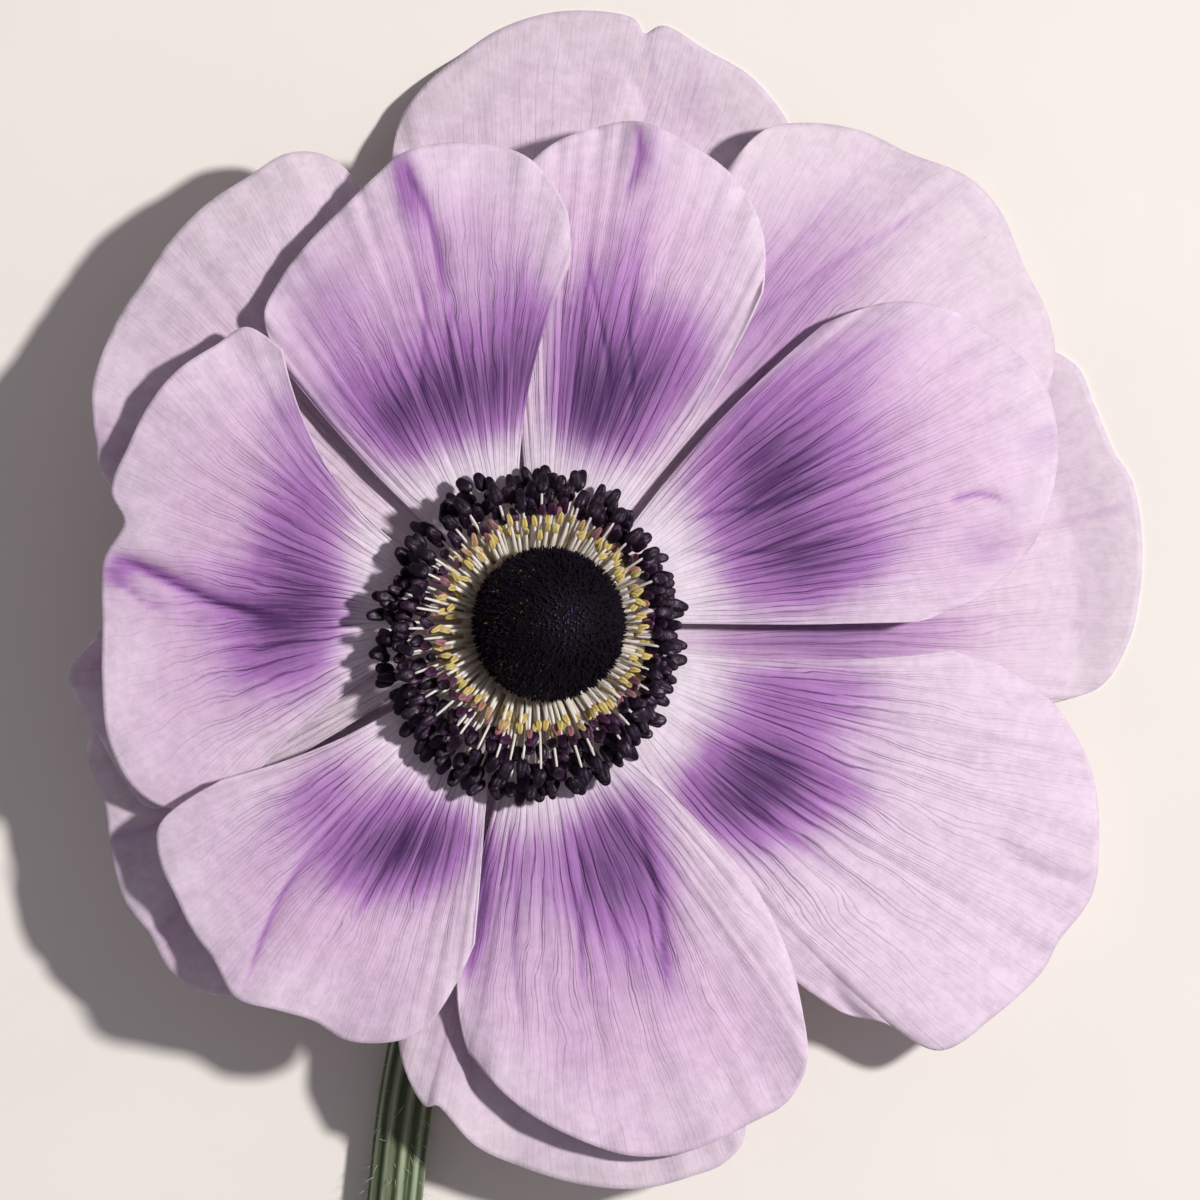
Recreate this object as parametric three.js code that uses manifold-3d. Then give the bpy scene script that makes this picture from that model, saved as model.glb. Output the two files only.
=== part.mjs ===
// A lilac anemone, cut, lying face up on a flat surface. Millimetres, Z up.
// Seen from above the flower's face is turned to the viewer and the stem runs toward -Y.
// The middle of the head is at X 0, Y 0 until the last step centres the whole on its footprint.

import * as THREE from 'three';
import { mergeVertices } from 'three/addons/utils/BufferGeometryUtils.js';
import Module from 'manifold-3d';

// Sizes of the whole flower
const PETAL_THICKNESS = 0.6;
const STEM_RADIUS = 2.2;
const STEM_RIBS = 11;
const STEM_RIB_DEPTH = 0.14;
const HEAD_PIVOT = new THREE.Vector3(0, 0, 10.5);
const HEAD_LEAN = THREE.MathUtils.degToRad(8);
const LEAN_AZIMUTH = THREE.MathUtils.degToRad(16);
const PETAL_PLANE_FALL = 0.0875;

// The two whorls: where the claws sit and how the whorl's surface arches away from them.
// Height at a distance d out from the claws is seatHeight + rise * d - fall * d * d.
const WHORLS = {
  inner: { seatRadius: 7.0, seatHeight: 12.2, rise: 0.11, fall: 0.0042, clawHalf: 2.3 },
  outer: { seatRadius: 6.0, seatHeight: 9.6, rise: 0.06, fall: 0.0048, clawHalf: 1.6 },
};

// Every petal by name. seat and heading are azimuths in degrees. rim lists the far margin from the
// clockwise shoulder round to the other, as degrees off the heading and millimetres from the seat.
// bow is how far each side swells beyond a straight line, clockwise side first. lift is how far the
// clockwise side, the middle and the other side stand above the whorl's surface. sag is how far the
// tip hangs below it, and ruffle is the height of the rim's waves.
const PETALS = {
  petal_inner_right: {
    whorl: 'inner', seat: 22, heading: 19, bow: [0.4, 2], lift: [-0.1, 0, -0.8], sag: 0.4, ruffle: 0.35,
    rim: [[-24, 24.5], [-19, 29.5], [-13, 33.5], [-6, 36.2], [1, 38], [8, 38.5], [15, 37], [22, 35.2],
      [28, 32], [33, 27.5]],
  },
  petal_inner_top: {
    whorl: 'inner', seat: 72, heading: 78, bow: [2.5, 0], lift: [0.8, 0, -0.8], sag: 0.2, ruffle: 0.3,
    rim: [[-27, 26], [-22, 29.5], [-15, 32.3], [-7, 33.7], [1, 34.5], [7, 33.5], [13, 32], [18, 29.5],
      [22, 25.5]],
  },
  petal_inner_top_left: {
    whorl: 'inner', seat: 115, heading: 98, bow: [-3, 1.2], lift: [0.9, 0.1, -1.1], sag: 0, ruffle: 0.3,
    rim: [[-23, 23.5], [-20, 27.8], [-13, 31.4], [-5, 32.5], [4, 32.6], [10, 31.2], [16, 29.8],
      [24, 28.5], [31, 27.4], [37, 26], [41, 22.5]],
  },
  petal_inner_left: {
    whorl: 'inner', seat: 168, heading: 178, bow: [-5.4, -2.5], lift: [1.1, 0.2, -0.8], sag: 0.2, ruffle: 0.4,
    rim: [[-56, 24.5], [-53, 27.6], [-47, 28], [-40, 28.7], [-33, 28.8], [-25, 28.5], [-18, 28.4],
      [-13, 26.6], [-6, 27.6], [4, 27.4], [14, 28], [24, 28.9], [33, 28.5], [39, 26.5], [44, 22.5]],
  },
  petal_inner_lower_left: {
    whorl: 'inner', seat: 228, heading: 240, bow: [-2, 0], lift: [1, 0.3, 0.9], sag: 0.2, ruffle: 0.35,
    rim: [[-41, 21], [-38, 26.5], [-33, 28.2], [-26, 28.7], [-20, 29.3], [-14, 29.7], [-8, 30.8],
      [-2, 29.8], [4, 29.1], [10, 29.5], [17, 28.6], [22, 27], [26.5, 23.5], [30.5, 20]],
  },
  petal_inner_bottom: {
    whorl: 'inner', seat: 280, heading: 283, bow: [0, 1], lift: [-0.8, 0.1, 1], sag: 0.4, ruffle: 0.35,
    rim: [[-35, 17.5], [-31.5, 22.5], [-27, 27], [-24, 28.5], [-17, 31.4], [-9, 34], [-2, 36], [5, 36.8],
      [13, 36.6], [19, 36.5], [24, 34.7], [28, 31.2], [33, 26.5], [38, 21]],
  },
  petal_inner_lower_right: {
    whorl: 'inner', seat: 332, heading: 340, bow: [5, -2], lift: [-1.1, 0, 0], sag: 0.6, ruffle: 0.4,
    rim: [[-40, 27], [-36, 33], [-32, 36], [-29, 40.5], [-22, 41.6], [-15, 42.4], [-11, 42.2],
      [-5, 42.8], [1, 41.6], [7, 40], [11, 38.3], [16, 35.5], [20, 32], [23, 27.5]],
  },
  petal_outer_right: {
    whorl: 'outer', seat: -5, heading: 7, bow: [0.5, 0], lift: [0, 0, -0.8], sag: 1.7, ruffle: 0.4,
    rim: [[-29, 23], [-21, 30.5], [-16, 36], [-13, 40], [-8, 42], [-3, 43], [3, 43.8], [9, 44.1],
      [13, 43.4], [18, 43.4], [23, 43.5], [27, 41], [29, 35]],
  },
  petal_outer_top_right: {
    whorl: 'outer', seat: 46, heading: 44, bow: [0.5, 0.5], lift: [0.9, 0.4, 0.9], sag: -1.6, ruffle: 0.5,
    rim: [[-33, 23], [-30, 31], [-25, 38], [-20, 41.4], [-15, 42.7], [-9, 43.2], [-3, 44.4],
      [2, 44.4], [8, 42.8], [14, 42], [20, 40.3], [24, 38.3], [26.5, 34], [28.5, 27]],
  },
  petal_outer_top: {
    whorl: 'outer', seat: 95, heading: 83, bow: [0.5, 0.5], lift: [-0.8, 0, 0.2], sag: 4.2, ruffle: 0.4,
    rim: [[-33, 22.5], [-31, 30], [-29, 36], [-26, 39.8], [-19, 42.3], [-13, 43], [-8, 43.9],
      [-6, 42.9], [-4, 44], [3, 43.7], [9, 42.4], [14, 40.5], [20, 38], [24, 35.3], [28, 30], [32, 23]],
  },
  petal_outer_top_left: {
    whorl: 'outer', seat: 143, heading: 135, bow: [0, 0.5], lift: [0, 0.3, 1.2], sag: -2.4, ruffle: 0.5,
    rim: [[-30, 32], [-27, 35.7], [-22, 37.4], [-16, 37.1], [-10, 37], [-3, 36.4], [2, 35.7],
      [7, 35.4], [12, 34.9], [18, 34], [24, 32.2], [29, 30.5], [33, 27], [37, 21]],
  },
  petal_outer_left: {
    whorl: 'outer', seat: 186, heading: 186, bow: [0, 0], lift: [-0.6, 0.4, 1.9], sag: -0.7, ruffle: 0.4,
    rim: [[-31, 15], [-22, 21], [-13, 26.3], [-6, 28.8], [-1, 31], [4, 30.8], [10, 29.7], [17, 29],
      [23, 28.2], [26, 25], [30.5, 19]],
  },
  petal_outer_lower_left: {
    whorl: 'outer', seat: 228, heading: 208, bow: [0, 0.5], lift: [-1.4, 0.6, 1.9], sag: -0.8, ruffle: 0.4,
    rim: [[-27, 22.5], [-24, 29], [-19, 31.9], [-11, 31.6], [-4, 32.4], [3, 33.4], [9, 33.2],
      [15, 33.9], [20, 33.2], [24, 31.4], [28, 27], [33, 20]],
  },
  petal_outer_bottom: {
    whorl: 'outer', seat: 275, heading: 277, bow: [0, 0.5], lift: [0, 0, 0], sag: -3.5, ruffle: 0.5,
    rim: [[-36, 18], [-32, 26], [-28, 30.4], [-23, 33.4], [-20.5, 33.3], [-15, 35.8], [-9, 37.2],
      [-2, 38.7], [5, 39.8], [11, 39.9], [15, 39.8], [18.5, 38.5], [21, 35], [24.5, 29], [28, 22]],
  },
};
const PETAL_ACROSS = 14;
const PETAL_ALONG = 7;
// A side's bow goes as this power of its distance from the petal's middle, so that the lines that
// run down the petal never cross.
const BOW_POWER = 1.2;
// The rim's waves: turns across half the petal, in radians, and share of the ruffle
const RIM_WAVES = [7.3, 12.1];
const RIM_WAVE_SHARES = [1, 0.6];
const RUFFLE_POWER = 5;
const SAG_POWER = 2.5;
// The lift of the sides is complete at this share of the length.
const LIFT_SETTLED = 0.2;
// An underside that comes closer to the table than this rests on it.
const TOUCHES_TABLE = 0.04;

// The stem's middle line from the cut end up to the receptacle
const STEM_LINE = [
  [-24, -142, 2.1], [-20, -115, 2.1], [-15.2, -85, 2.1], [-11.6, -52, 2.1], [-9.7, -36, 2.1],
  [-6.2, -22, 2.15], [-3.6, -13, 2.6], [-1.8, -6.4, 4.2], [-0.6, -2, 6.8],
];
const RECEPTACLE_HEIGHTS = [9.6, 12, 14.6];
const STEM_SIDES = 22;
const STEM_REACHES = [20, 24, 29, 35, 44, 56, 70, 86, 104, 124];
// Radius against the distance below the receptacle's top, knob first
const KNOB = [
  [0, 3.6], [1.95, 4], [2, 5.8], [2.9, 6.3], [3.9, 6], [5.3, 4.9], [6.7, 3.8], [8.4, 2.7],
  [11, 2.25], [16, STEM_RADIUS],
];

// The dome: its middle stands at X x, with the widest tier at height middle. lastTier is how far up
// its last tier lies, as an angle. nub is how far the styles' ends stand out.
const DOME = {
  x: 0.4, radius: 6.15, middle: 18.4, crown: 4.8, foot: { drop: 4.5, depth: 3.2 }, around: 40, tiers: 15,
  lastTier: 1.42, nub: 0.16,
};

// Collars and rows of stamens in the upright head. lean is how steeply the anthers stand.
const COLLAR_SIDES = 24;
const COLLAR_BEVEL = 0.3;
const FILAMENT_INSET = 0.45;
const OUTER_COLLAR = { inner: 4.6, outer: 6.5, low: 13.0, high: 13.8 };
const INNER_COLLAR = { inner: 4.4, outer: 6.0, low: 14.15, high: 14.8 };
const OUTER_STAMENS = [
  { reach: 10.9, height: 15.0, count: 34, shift: -0.5, lean: 0.2 },
  { reach: 10.2, height: 15.8, count: 29, shift: -0.3, lean: 0.45 },
  { reach: 9.7, height: 16.5, count: 24, shift: 0.1, lean: 0.7 },
  { reach: 9.3, height: 17.3, count: 17, shift: 0.4, lean: 0.9 },
];
const INNER_STAMENS = [{ reach: 7.55, height: 18.2, count: 50, shift: 0.4, lean: 1.2 }];
const OUTER_FILAMENT_RADIUS = 0.3;
const INNER_FILAMENT_RADIUS = 0.27;
const OUTER_ANTHER = { length: 2.3, radius: 0.7, sides: 3 };
const INNER_ANTHER = { length: 1.4, radius: 0.4, sides: 3 };
// An anther is full between these shares of its length.
const ANTHER_SHOULDERS = [0.22, 0.72];
// How far a stamen strays: round the ring as a share of a place, in millimetres, and as it points
const STRAY = { turn: 0.2, place: 0.3, sideways: 0.35, upward: 0.25 };
const OUTER_SEED = 11;
const INNER_SEED = 23;
const STAMEN_TOLERANCE = 0.05;

// Bracts: where each leaves the stem, which way it points and how it arches. A share d of its
// length out, a bract stands arch * d * (BRACT_RISE - BRACT_FALL * d) above its root.
const BRACT_THICKNESS = 0.7;
const BRACT_RISE = 1.7;
const BRACT_FALL = 2.1;
const BRACT_TOLERANCE = 0.05;
const BRACTS = {
  bract_left: { root: [-9.0, -21.3, 2.4], azimuth: 150, length: 23, arch: 6 },
  bract_right: { root: [-3.4, -22.8, 2.4], azimuth: -18, length: 24, arch: 4 },
  bract_top: { root: [-5.9, -21.8, 5.3], azimuth: 33, length: 21, arch: 3 },
};
// Lobes as shares of the bract's length: start out and aside, tip out and aside, then width in mm.
const BRACT_LOBES = [
  [0, 0, 1, 0, 3.2], [0.1, 0, 0.62, 0.34, 2.6], [0.35, 0, 0.86, 0.24, 2.2], [0.6, 0, 0.95, 0.12, 1.6],
  [0.32, 0.14, 0.4, 0.36, 1.6], [0.34, 0.155, 0.72, 0.36, 1.6],
];
// A lobe's sections: share of its length and share of its half-width there. Its midrib stands
// MIDRIB_ASIDE half-widths off the middle.
const LOBE_SECTIONS = [[0, 0.6], [0.45, 1], [0.78, 0.7]];
const MIDRIB_ASIDE = 0.1;

// Finishes
const PETAL_LILAC = 0xb98fc6;
const PETAL_PALE = 0xdccbdc;
const STEM_GREEN = 0x5f6e50;
const DOME_VIOLET = 0x1b1124;
const ANTHER_BLACK = 0x201826;
const FILAMENT_CREAM = 0xd8c9a0;

const wasm = await Module();
wasm.setup();

const flower = new THREE.Group();

function toSolid(geometry) {
  const bare = new THREE.BufferGeometry();
  bare.setAttribute('position', geometry.getAttribute('position'));
  if (geometry.index) bare.setIndex(geometry.index);
  const joined = mergeVertices(bare, 1e-4);
  return new wasm.Manifold(new wasm.Mesh({
    numProp: 3,
    vertProperties: new Float32Array(joined.attributes.position.array),
    triVerts: new Uint32Array(joined.index.array),
  }));
}

function toGeometry(solid) {
  const mesh = solid.getMesh();
  const places = new Float32Array(mesh.numVert * 3);
  for (let i = 0; i < mesh.numVert; i++) {
    places.set(mesh.vertProperties.subarray(i * mesh.numProp, i * mesh.numProp + 3), i * 3);
  }
  const geometry = new THREE.BufferGeometry();
  geometry.setAttribute('position', new THREE.BufferAttribute(places, 3));
  geometry.setIndex(new THREE.BufferAttribute(new Uint32Array(mesh.triVerts), 1));
  return geometry;
}

function addNode(name, geometry, color, roughness) {
  const material = new THREE.MeshStandardMaterial({ color, roughness, metalness: 0 });
  const mesh = new THREE.Mesh(geometry, material);
  mesh.name = name;
  flower.add(mesh);
}

function meshOf(points, faces) {
  const geometry = new THREE.BufferGeometry().setFromPoints(points);
  geometry.setIndex(faces);
  return geometry;
}

function seededRandom(seed) {
  let state = seed;
  return () => {
    state = (state * 1664525 + 1013904223) % 4294967296;
    return state / 4294967296;
  };
}

// Turns a point of the upright head so that the head leans toward LEAN_AZIMUTH.
const leanAxis = new THREE.Vector3(-Math.sin(LEAN_AZIMUTH), Math.cos(LEAN_AZIMUTH), 0);
function leaned(point) {
  return point.clone().sub(HEAD_PIVOT).applyAxisAngle(leanAxis, HEAD_LEAN).add(HEAD_PIVOT);
}

// Petals

function whorlHeight(whorl, x, y) {
  const out = Math.hypot(x, y) - whorl.seatRadius;
  const fallen = PETAL_PLANE_FALL * (x * Math.cos(LEAN_AZIMUTH) + y * Math.sin(LEAN_AZIMUTH));
  return whorl.seatHeight + whorl.rise * out - whorl.fall * out * out - fallen;
}

// A point of the petal's middle surface. across runs from -1 on the clockwise side to 1,
// and along from 0 at the claw to 1 at the rim.
function petalSurface(petal, rimCurve, across, along) {
  const whorl = WHORLS[petal.whorl];
  const seat = THREE.MathUtils.degToRad(petal.seat);
  const heading = THREE.MathUtils.degToRad(petal.heading);
  const middle = new THREE.Vector2(Math.cos(seat), Math.sin(seat)).multiplyScalar(whorl.seatRadius);
  const root = new THREE.Vector2(-Math.sin(seat), Math.cos(seat))
    .multiplyScalar(whorl.clawHalf * across).add(middle);
  const margin = rimCurve.getPoint((across + 1) / 2);
  const angle = heading + THREE.MathUtils.degToRad(margin.x);
  const tip = new THREE.Vector2(Math.cos(angle), Math.sin(angle)).multiplyScalar(margin.y).add(middle);
  const chord = tip.clone().sub(root).normalize();
  const outward = new THREE.Vector2(-chord.y, chord.x).multiplyScalar(Math.sign(across));
  const swell = petal.bow[across < 0 ? 0 : 1] * Math.abs(across) ** BOW_POWER;
  const bend = root.clone().add(tip).multiplyScalar(0.5).addScaledVector(outward, swell);
  const place = new THREE.QuadraticBezierCurve(root, bend, tip).getPoint(along);

  const [clockwise, mid, other] = petal.lift;
  const side = mid + across * (other - clockwise) / 2 + across * across * ((other + clockwise) / 2 - mid);
  const farthest = Math.max(...petal.rim.map(([, reach]) => reach));
  const out = place.distanceTo(middle) / farthest;
  const settle = THREE.MathUtils.smoothstep(along, 0, LIFT_SETTLED);
  const waves = RIM_WAVE_SHARES[0] * Math.sin(across * RIM_WAVES[0] + petal.seat)
    + RIM_WAVE_SHARES[1] * Math.sin(across * RIM_WAVES[1] + petal.heading);
  const ruffle = petal.ruffle * waves * along ** RUFFLE_POWER;
  const sag = petal.sag * out ** SAG_POWER;
  const height = whorlHeight(whorl, place.x, place.y) + side * settle + ruffle - sag;
  return new THREE.Vector3(place.x, place.y, Math.max(height, PETAL_THICKNESS / 2));
}

function petalGeometry(petal) {
  const rimCurve = new THREE.SplineCurve(petal.rim.map(([a, d]) => new THREE.Vector2(a, d)));
  const top = [];
  const bottom = [];
  const step = 0.02;
  for (let i = 0; i <= PETAL_ACROSS; i++) {
    for (let j = 0; j <= PETAL_ALONG; j++) {
      const across = 2 * i / PETAL_ACROSS - 1;
      const along = j / PETAL_ALONG;
      const here = petalSurface(petal, rimCurve, across, along);
      const sideways = petalSurface(petal, rimCurve, Math.min(across + step, 1), along)
        .sub(petalSurface(petal, rimCurve, Math.max(across - step, -1), along));
      const forward = petalSurface(petal, rimCurve, across, Math.min(along + step, 1))
        .sub(petalSurface(petal, rimCurve, across, Math.max(along - step, 0)));
      const normal = forward.cross(sideways).normalize().multiplyScalar(PETAL_THICKNESS / 2);
      top.push(here.clone().add(normal));
      const under = here.clone().sub(normal);
      if (under.z < TOUCHES_TABLE) under.z = 0;
      bottom.push(under);
    }
  }
  const row = PETAL_ALONG + 1;
  const count = top.length;
  const faces = [];
  for (let i = 0; i < PETAL_ACROSS; i++) {
    for (let j = 0; j < PETAL_ALONG; j++) {
      const a = i * row + j;
      faces.push(a, a + 1, a + row + 1, a, a + row + 1, a + row);
      faces.push(count + a, count + a + row + 1, count + a + 1);
      faces.push(count + a, count + a + row, count + a + row + 1);
    }
  }
  const border = [];
  for (let j = 0; j < PETAL_ALONG; j++) border.push(j);
  for (let i = 0; i < PETAL_ACROSS; i++) border.push(i * row + PETAL_ALONG);
  for (let j = PETAL_ALONG; j > 0; j--) border.push(PETAL_ACROSS * row + j);
  for (let i = PETAL_ACROSS; i > 0; i--) border.push(i * row);
  border.forEach((a, k) => {
    const b = border[(k + 1) % border.length];
    faces.push(a, count + a, b, b, count + a, count + b);
  });
  return meshOf(top.concat(bottom), faces);
}

for (const [name, petal] of Object.entries(PETALS)) {
  const color = petal.whorl === 'inner' ? PETAL_LILAC : PETAL_PALE;
  addNode(name, petalGeometry(petal), color, 0.6);
}

// Lofts

// A closed skin through rings of points that all have the same count. Each end is flat, or runs to
// the point given for it.
function skinOf(rings, firstEnd, lastEnd) {
  const sides = rings[0].length;
  const points = rings.flat();
  const faces = [];
  for (let k = 0; k + 1 < rings.length; k++) {
    for (let i = 0; i < sides; i++) {
      const a = k * sides + i;
      const b = k * sides + (i + 1) % sides;
      faces.push(a, b, b + sides, a, b + sides, a + sides);
    }
  }
  const centre = (ring) => ring.reduce((sum, p) => sum.add(p), new THREE.Vector3()).divideScalar(sides);
  const last = (rings.length - 1) * sides;
  const under = points.push(firstEnd ?? centre(rings[0])) - 1;
  const over = points.push(lastEnd ?? centre(rings[rings.length - 1])) - 1;
  for (let i = 0; i < sides; i++) {
    const j = (i + 1) % sides;
    faces.push(j, i, under, last + i, last + j, over);
  }
  return meshOf(points, faces);
}

// A ring round a point, in the plane of two directions. spread gives the radius at an angle.
function ringAround(middle, side, up, sides, spread) {
  return Array.from({ length: sides }, (_, i) => {
    const angle = 2 * Math.PI * i / sides;
    return middle.clone()
      .addScaledVector(side, spread(angle) * Math.cos(angle))
      .addScaledVector(up, spread(angle) * Math.sin(angle));
  });
}

// Stem and receptacle: one piece, ribbed, widening into the knob that carries the petals

function knobRadius(below) {
  const next = KNOB.findIndex(([reach]) => reach >= below);
  if (next < 0) return STEM_RADIUS;
  if (next === 0) return KNOB[0][1];
  const [nearReach, nearRadius] = KNOB[next - 1];
  const [farReach, farRadius] = KNOB[next];
  return THREE.MathUtils.mapLinear(below, nearReach, farReach, nearRadius, farRadius);
}

function stemGeometry() {
  const places = STEM_LINE.map((p) => new THREE.Vector3(...p));
  for (const height of RECEPTACLE_HEIGHTS) places.push(leaned(new THREE.Vector3(0, 0, height)));
  const line = new THREE.CatmullRomCurve3(places, false, 'centripetal');
  const length = line.getLength();
  const reaches = KNOB.map(([reach]) => reach).concat(STEM_REACHES, length);
  const rings = [];
  const side = new THREE.Vector3(1, 0, 0);
  for (const reach of reaches) {
    const share = 1 - reach / length;
    const ahead = line.getTangentAt(share);
    side.addScaledVector(ahead, -side.dot(ahead)).normalize();
    const up = new THREE.Vector3().crossVectors(side, ahead);
    const ribbing = STEM_RIB_DEPTH * THREE.MathUtils.smoothstep(reach, 4, 9);
    const radius = knobRadius(reach);
    rings.push(ringAround(line.getPointAt(share), side, up, STEM_SIDES, (angle) => (
      radius + ribbing * Math.cos(STEM_RIBS * angle)
    )));
  }
  for (const point of rings.flat()) point.z = Math.max(point.z, 0);
  return skinOf(rings);
}

addNode('stem', stemGeometry(), STEM_GREEN, 0.7);

// Dome of carpels: a round cushion whose styles stand out as nubs

function domeGeometry() {
  const { x, radius, middle, crown, foot, around, tiers, lastTier, nub } = DOME;
  const lowest = -Math.asin(foot.depth / foot.drop);
  const rings = [];
  for (let j = 0; j <= tiers; j++) {
    const lift = THREE.MathUtils.lerp(lowest, lastTier, j / tiers);
    const height = middle + Math.sin(lift) * (lift < 0 ? foot.drop : crown);
    rings.push(ringAround(
      new THREE.Vector3(x, 0, height), new THREE.Vector3(1, 0, 0), new THREE.Vector3(0, 1, 0), around,
      (angle) => radius * Math.cos(lift) + nub * Math.cos(lift) * Math.cos(around * angle / 2 + j * Math.PI),
    ).map(leaned));
  }
  return skinOf(rings, undefined, leaned(new THREE.Vector3(x, 0, middle + crown)));
}

addNode('pistil_dome', domeGeometry(), DOME_VIOLET, 0.9);

// Stamens: a collar round the receptacle with filaments rising from it, an anther on each

function collarSolid(collar) {
  const { inner, outer, low, high } = collar;
  const profile = [[inner, low], [outer, low], [outer, high - COLLAR_BEVEL], [inner, high], [inner, low]];
  const ring = new THREE.LatheGeometry(profile.map((p) => new THREE.Vector2(...p)), COLLAR_SIDES);
  ring.rotateX(Math.PI / 2);
  return toSolid(ring);
}

// One stamen from its root: a filament and the anther that carries on from it along its own line.
function stamenSolid(root, neck, along, filamentRadius, anther) {
  const ahead = neck.clone().sub(root).normalize();
  const side = new THREE.Vector3(-ahead.y, ahead.x, 0).normalize();
  const up = new THREE.Vector3().crossVectors(ahead, side);
  const at = (share) => neck.clone().addScaledVector(along, anther.length * share);
  const slices = [
    [root, filamentRadius], [neck, filamentRadius],
    [at(ANTHER_SHOULDERS[0]), anther.radius], [at(ANTHER_SHOULDERS[1]), anther.radius],
  ];
  const rings = slices.map(([place, radius]) => ringAround(place, side, up, anther.sides, () => radius));
  return toSolid(skinOf(rings, undefined, at(1)));
}

function stamenRing(collar, rows, filamentRadius, anther, seed) {
  const random = seededRandom(seed);
  const jitter = (size) => size * (2 * random() - 1);
  const parts = [collarSolid(collar)];
  for (const { reach, height, count, shift, lean } of rows) {
    for (let i = 0; i < count; i++) {
      const angle = 2 * Math.PI * (i + jitter(STRAY.turn)) / count;
      const out = new THREE.Vector3(Math.cos(angle), Math.sin(angle), 0);
      const root = out.clone().multiplyScalar(collar.outer - FILAMENT_INSET);
      root.z = (collar.low + collar.high) / 2;
      const neck = out.clone().multiplyScalar(reach + jitter(STRAY.place));
      neck.add(new THREE.Vector3(shift, 0, height + jitter(STRAY.place)));
      const along = out.clone().multiplyScalar(Math.cos(lean)).add(new THREE.Vector3(0, 0, Math.sin(lean)));
      along.add(new THREE.Vector3(jitter(STRAY.sideways), jitter(STRAY.sideways), jitter(STRAY.upward)));
      along.normalize();
      parts.push(stamenSolid(root, neck, along, filamentRadius, anther));
    }
  }
  const whole = wasm.Manifold.union(parts).simplify(STAMEN_TOLERANCE);
  const geometry = toGeometry(whole);
  const places = geometry.getAttribute('position');
  const point = new THREE.Vector3();
  for (let i = 0; i < places.count; i++) {
    const { x, y, z } = leaned(point.fromBufferAttribute(places, i));
    places.setXYZ(i, x, y, z);
  }
  return geometry;
}

addNode('stamens_outer', stamenRing(
  OUTER_COLLAR, OUTER_STAMENS, OUTER_FILAMENT_RADIUS, OUTER_ANTHER, OUTER_SEED,
), ANTHER_BLACK, 0.4);
addNode('stamens_inner', stamenRing(
  INNER_COLLAR, INNER_STAMENS, INNER_FILAMENT_RADIUS, INNER_ANTHER, INNER_SEED,
), FILAMENT_CREAM, 0.6);

// Bracts: three leaves cut into narrow lobes, seated round the stem behind the head

// A lobe from one place of the leaf to another, thin, widest past its middle and pointed.
function lobeSolid(place, [out, aside, tipOut, tipAside, width], turn) {
  const at = (share) => place(
    THREE.MathUtils.lerp(out, tipOut, share), turn * THREE.MathUtils.lerp(aside, tipAside, share),
  );
  const ahead = at(1).sub(at(0)).normalize();
  const side = new THREE.Vector3(-ahead.y, ahead.x, 0).normalize().multiplyScalar(width / 2);
  const up = new THREE.Vector3(0, 0, BRACT_THICKNESS / 2);
  const slices = LOBE_SECTIONS.map(([share, fullness]) => [
    at(share).addScaledVector(side, -fullness), at(share).add(up).addScaledVector(side, -MIDRIB_ASIDE),
    at(share).addScaledVector(side, fullness), at(share).sub(up).addScaledVector(side, MIDRIB_ASIDE),
  ]);
  return toSolid(skinOf(slices.map((ring) => ring.reverse()), undefined, at(1)));
}

function bractSolid({ root, azimuth, length, arch }) {
  const heading = THREE.MathUtils.degToRad(azimuth);
  const place = (out, aside) => new THREE.Vector3(
    root[0] + length * (out * Math.cos(heading) - aside * Math.sin(heading)),
    root[1] + length * (out * Math.sin(heading) + aside * Math.cos(heading)),
    root[2] + arch * out * (BRACT_RISE - BRACT_FALL * out),
  );
  const parts = [];
  for (const lobe of BRACT_LOBES) {
    const sides = lobe[3] === 0 ? [1] : [1, -1];
    for (const turn of sides) parts.push(lobeSolid(place, lobe, turn));
  }
  return wasm.Manifold.union(parts).simplify(BRACT_TOLERANCE);
}

for (const [name, bract] of Object.entries(BRACTS)) {
  addNode(name, toGeometry(bractSolid(bract)), STEM_GREEN, 0.7);
}

// The origin goes to the middle of the footprint, on the surface the flower lies on.
const bounds = new THREE.Box3().setFromObject(flower);
const middle = bounds.getCenter(new THREE.Vector3());
flower.position.set(-middle.x, -middle.y, -bounds.min.z);

export default flower;
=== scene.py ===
# %% [markdown]
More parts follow.
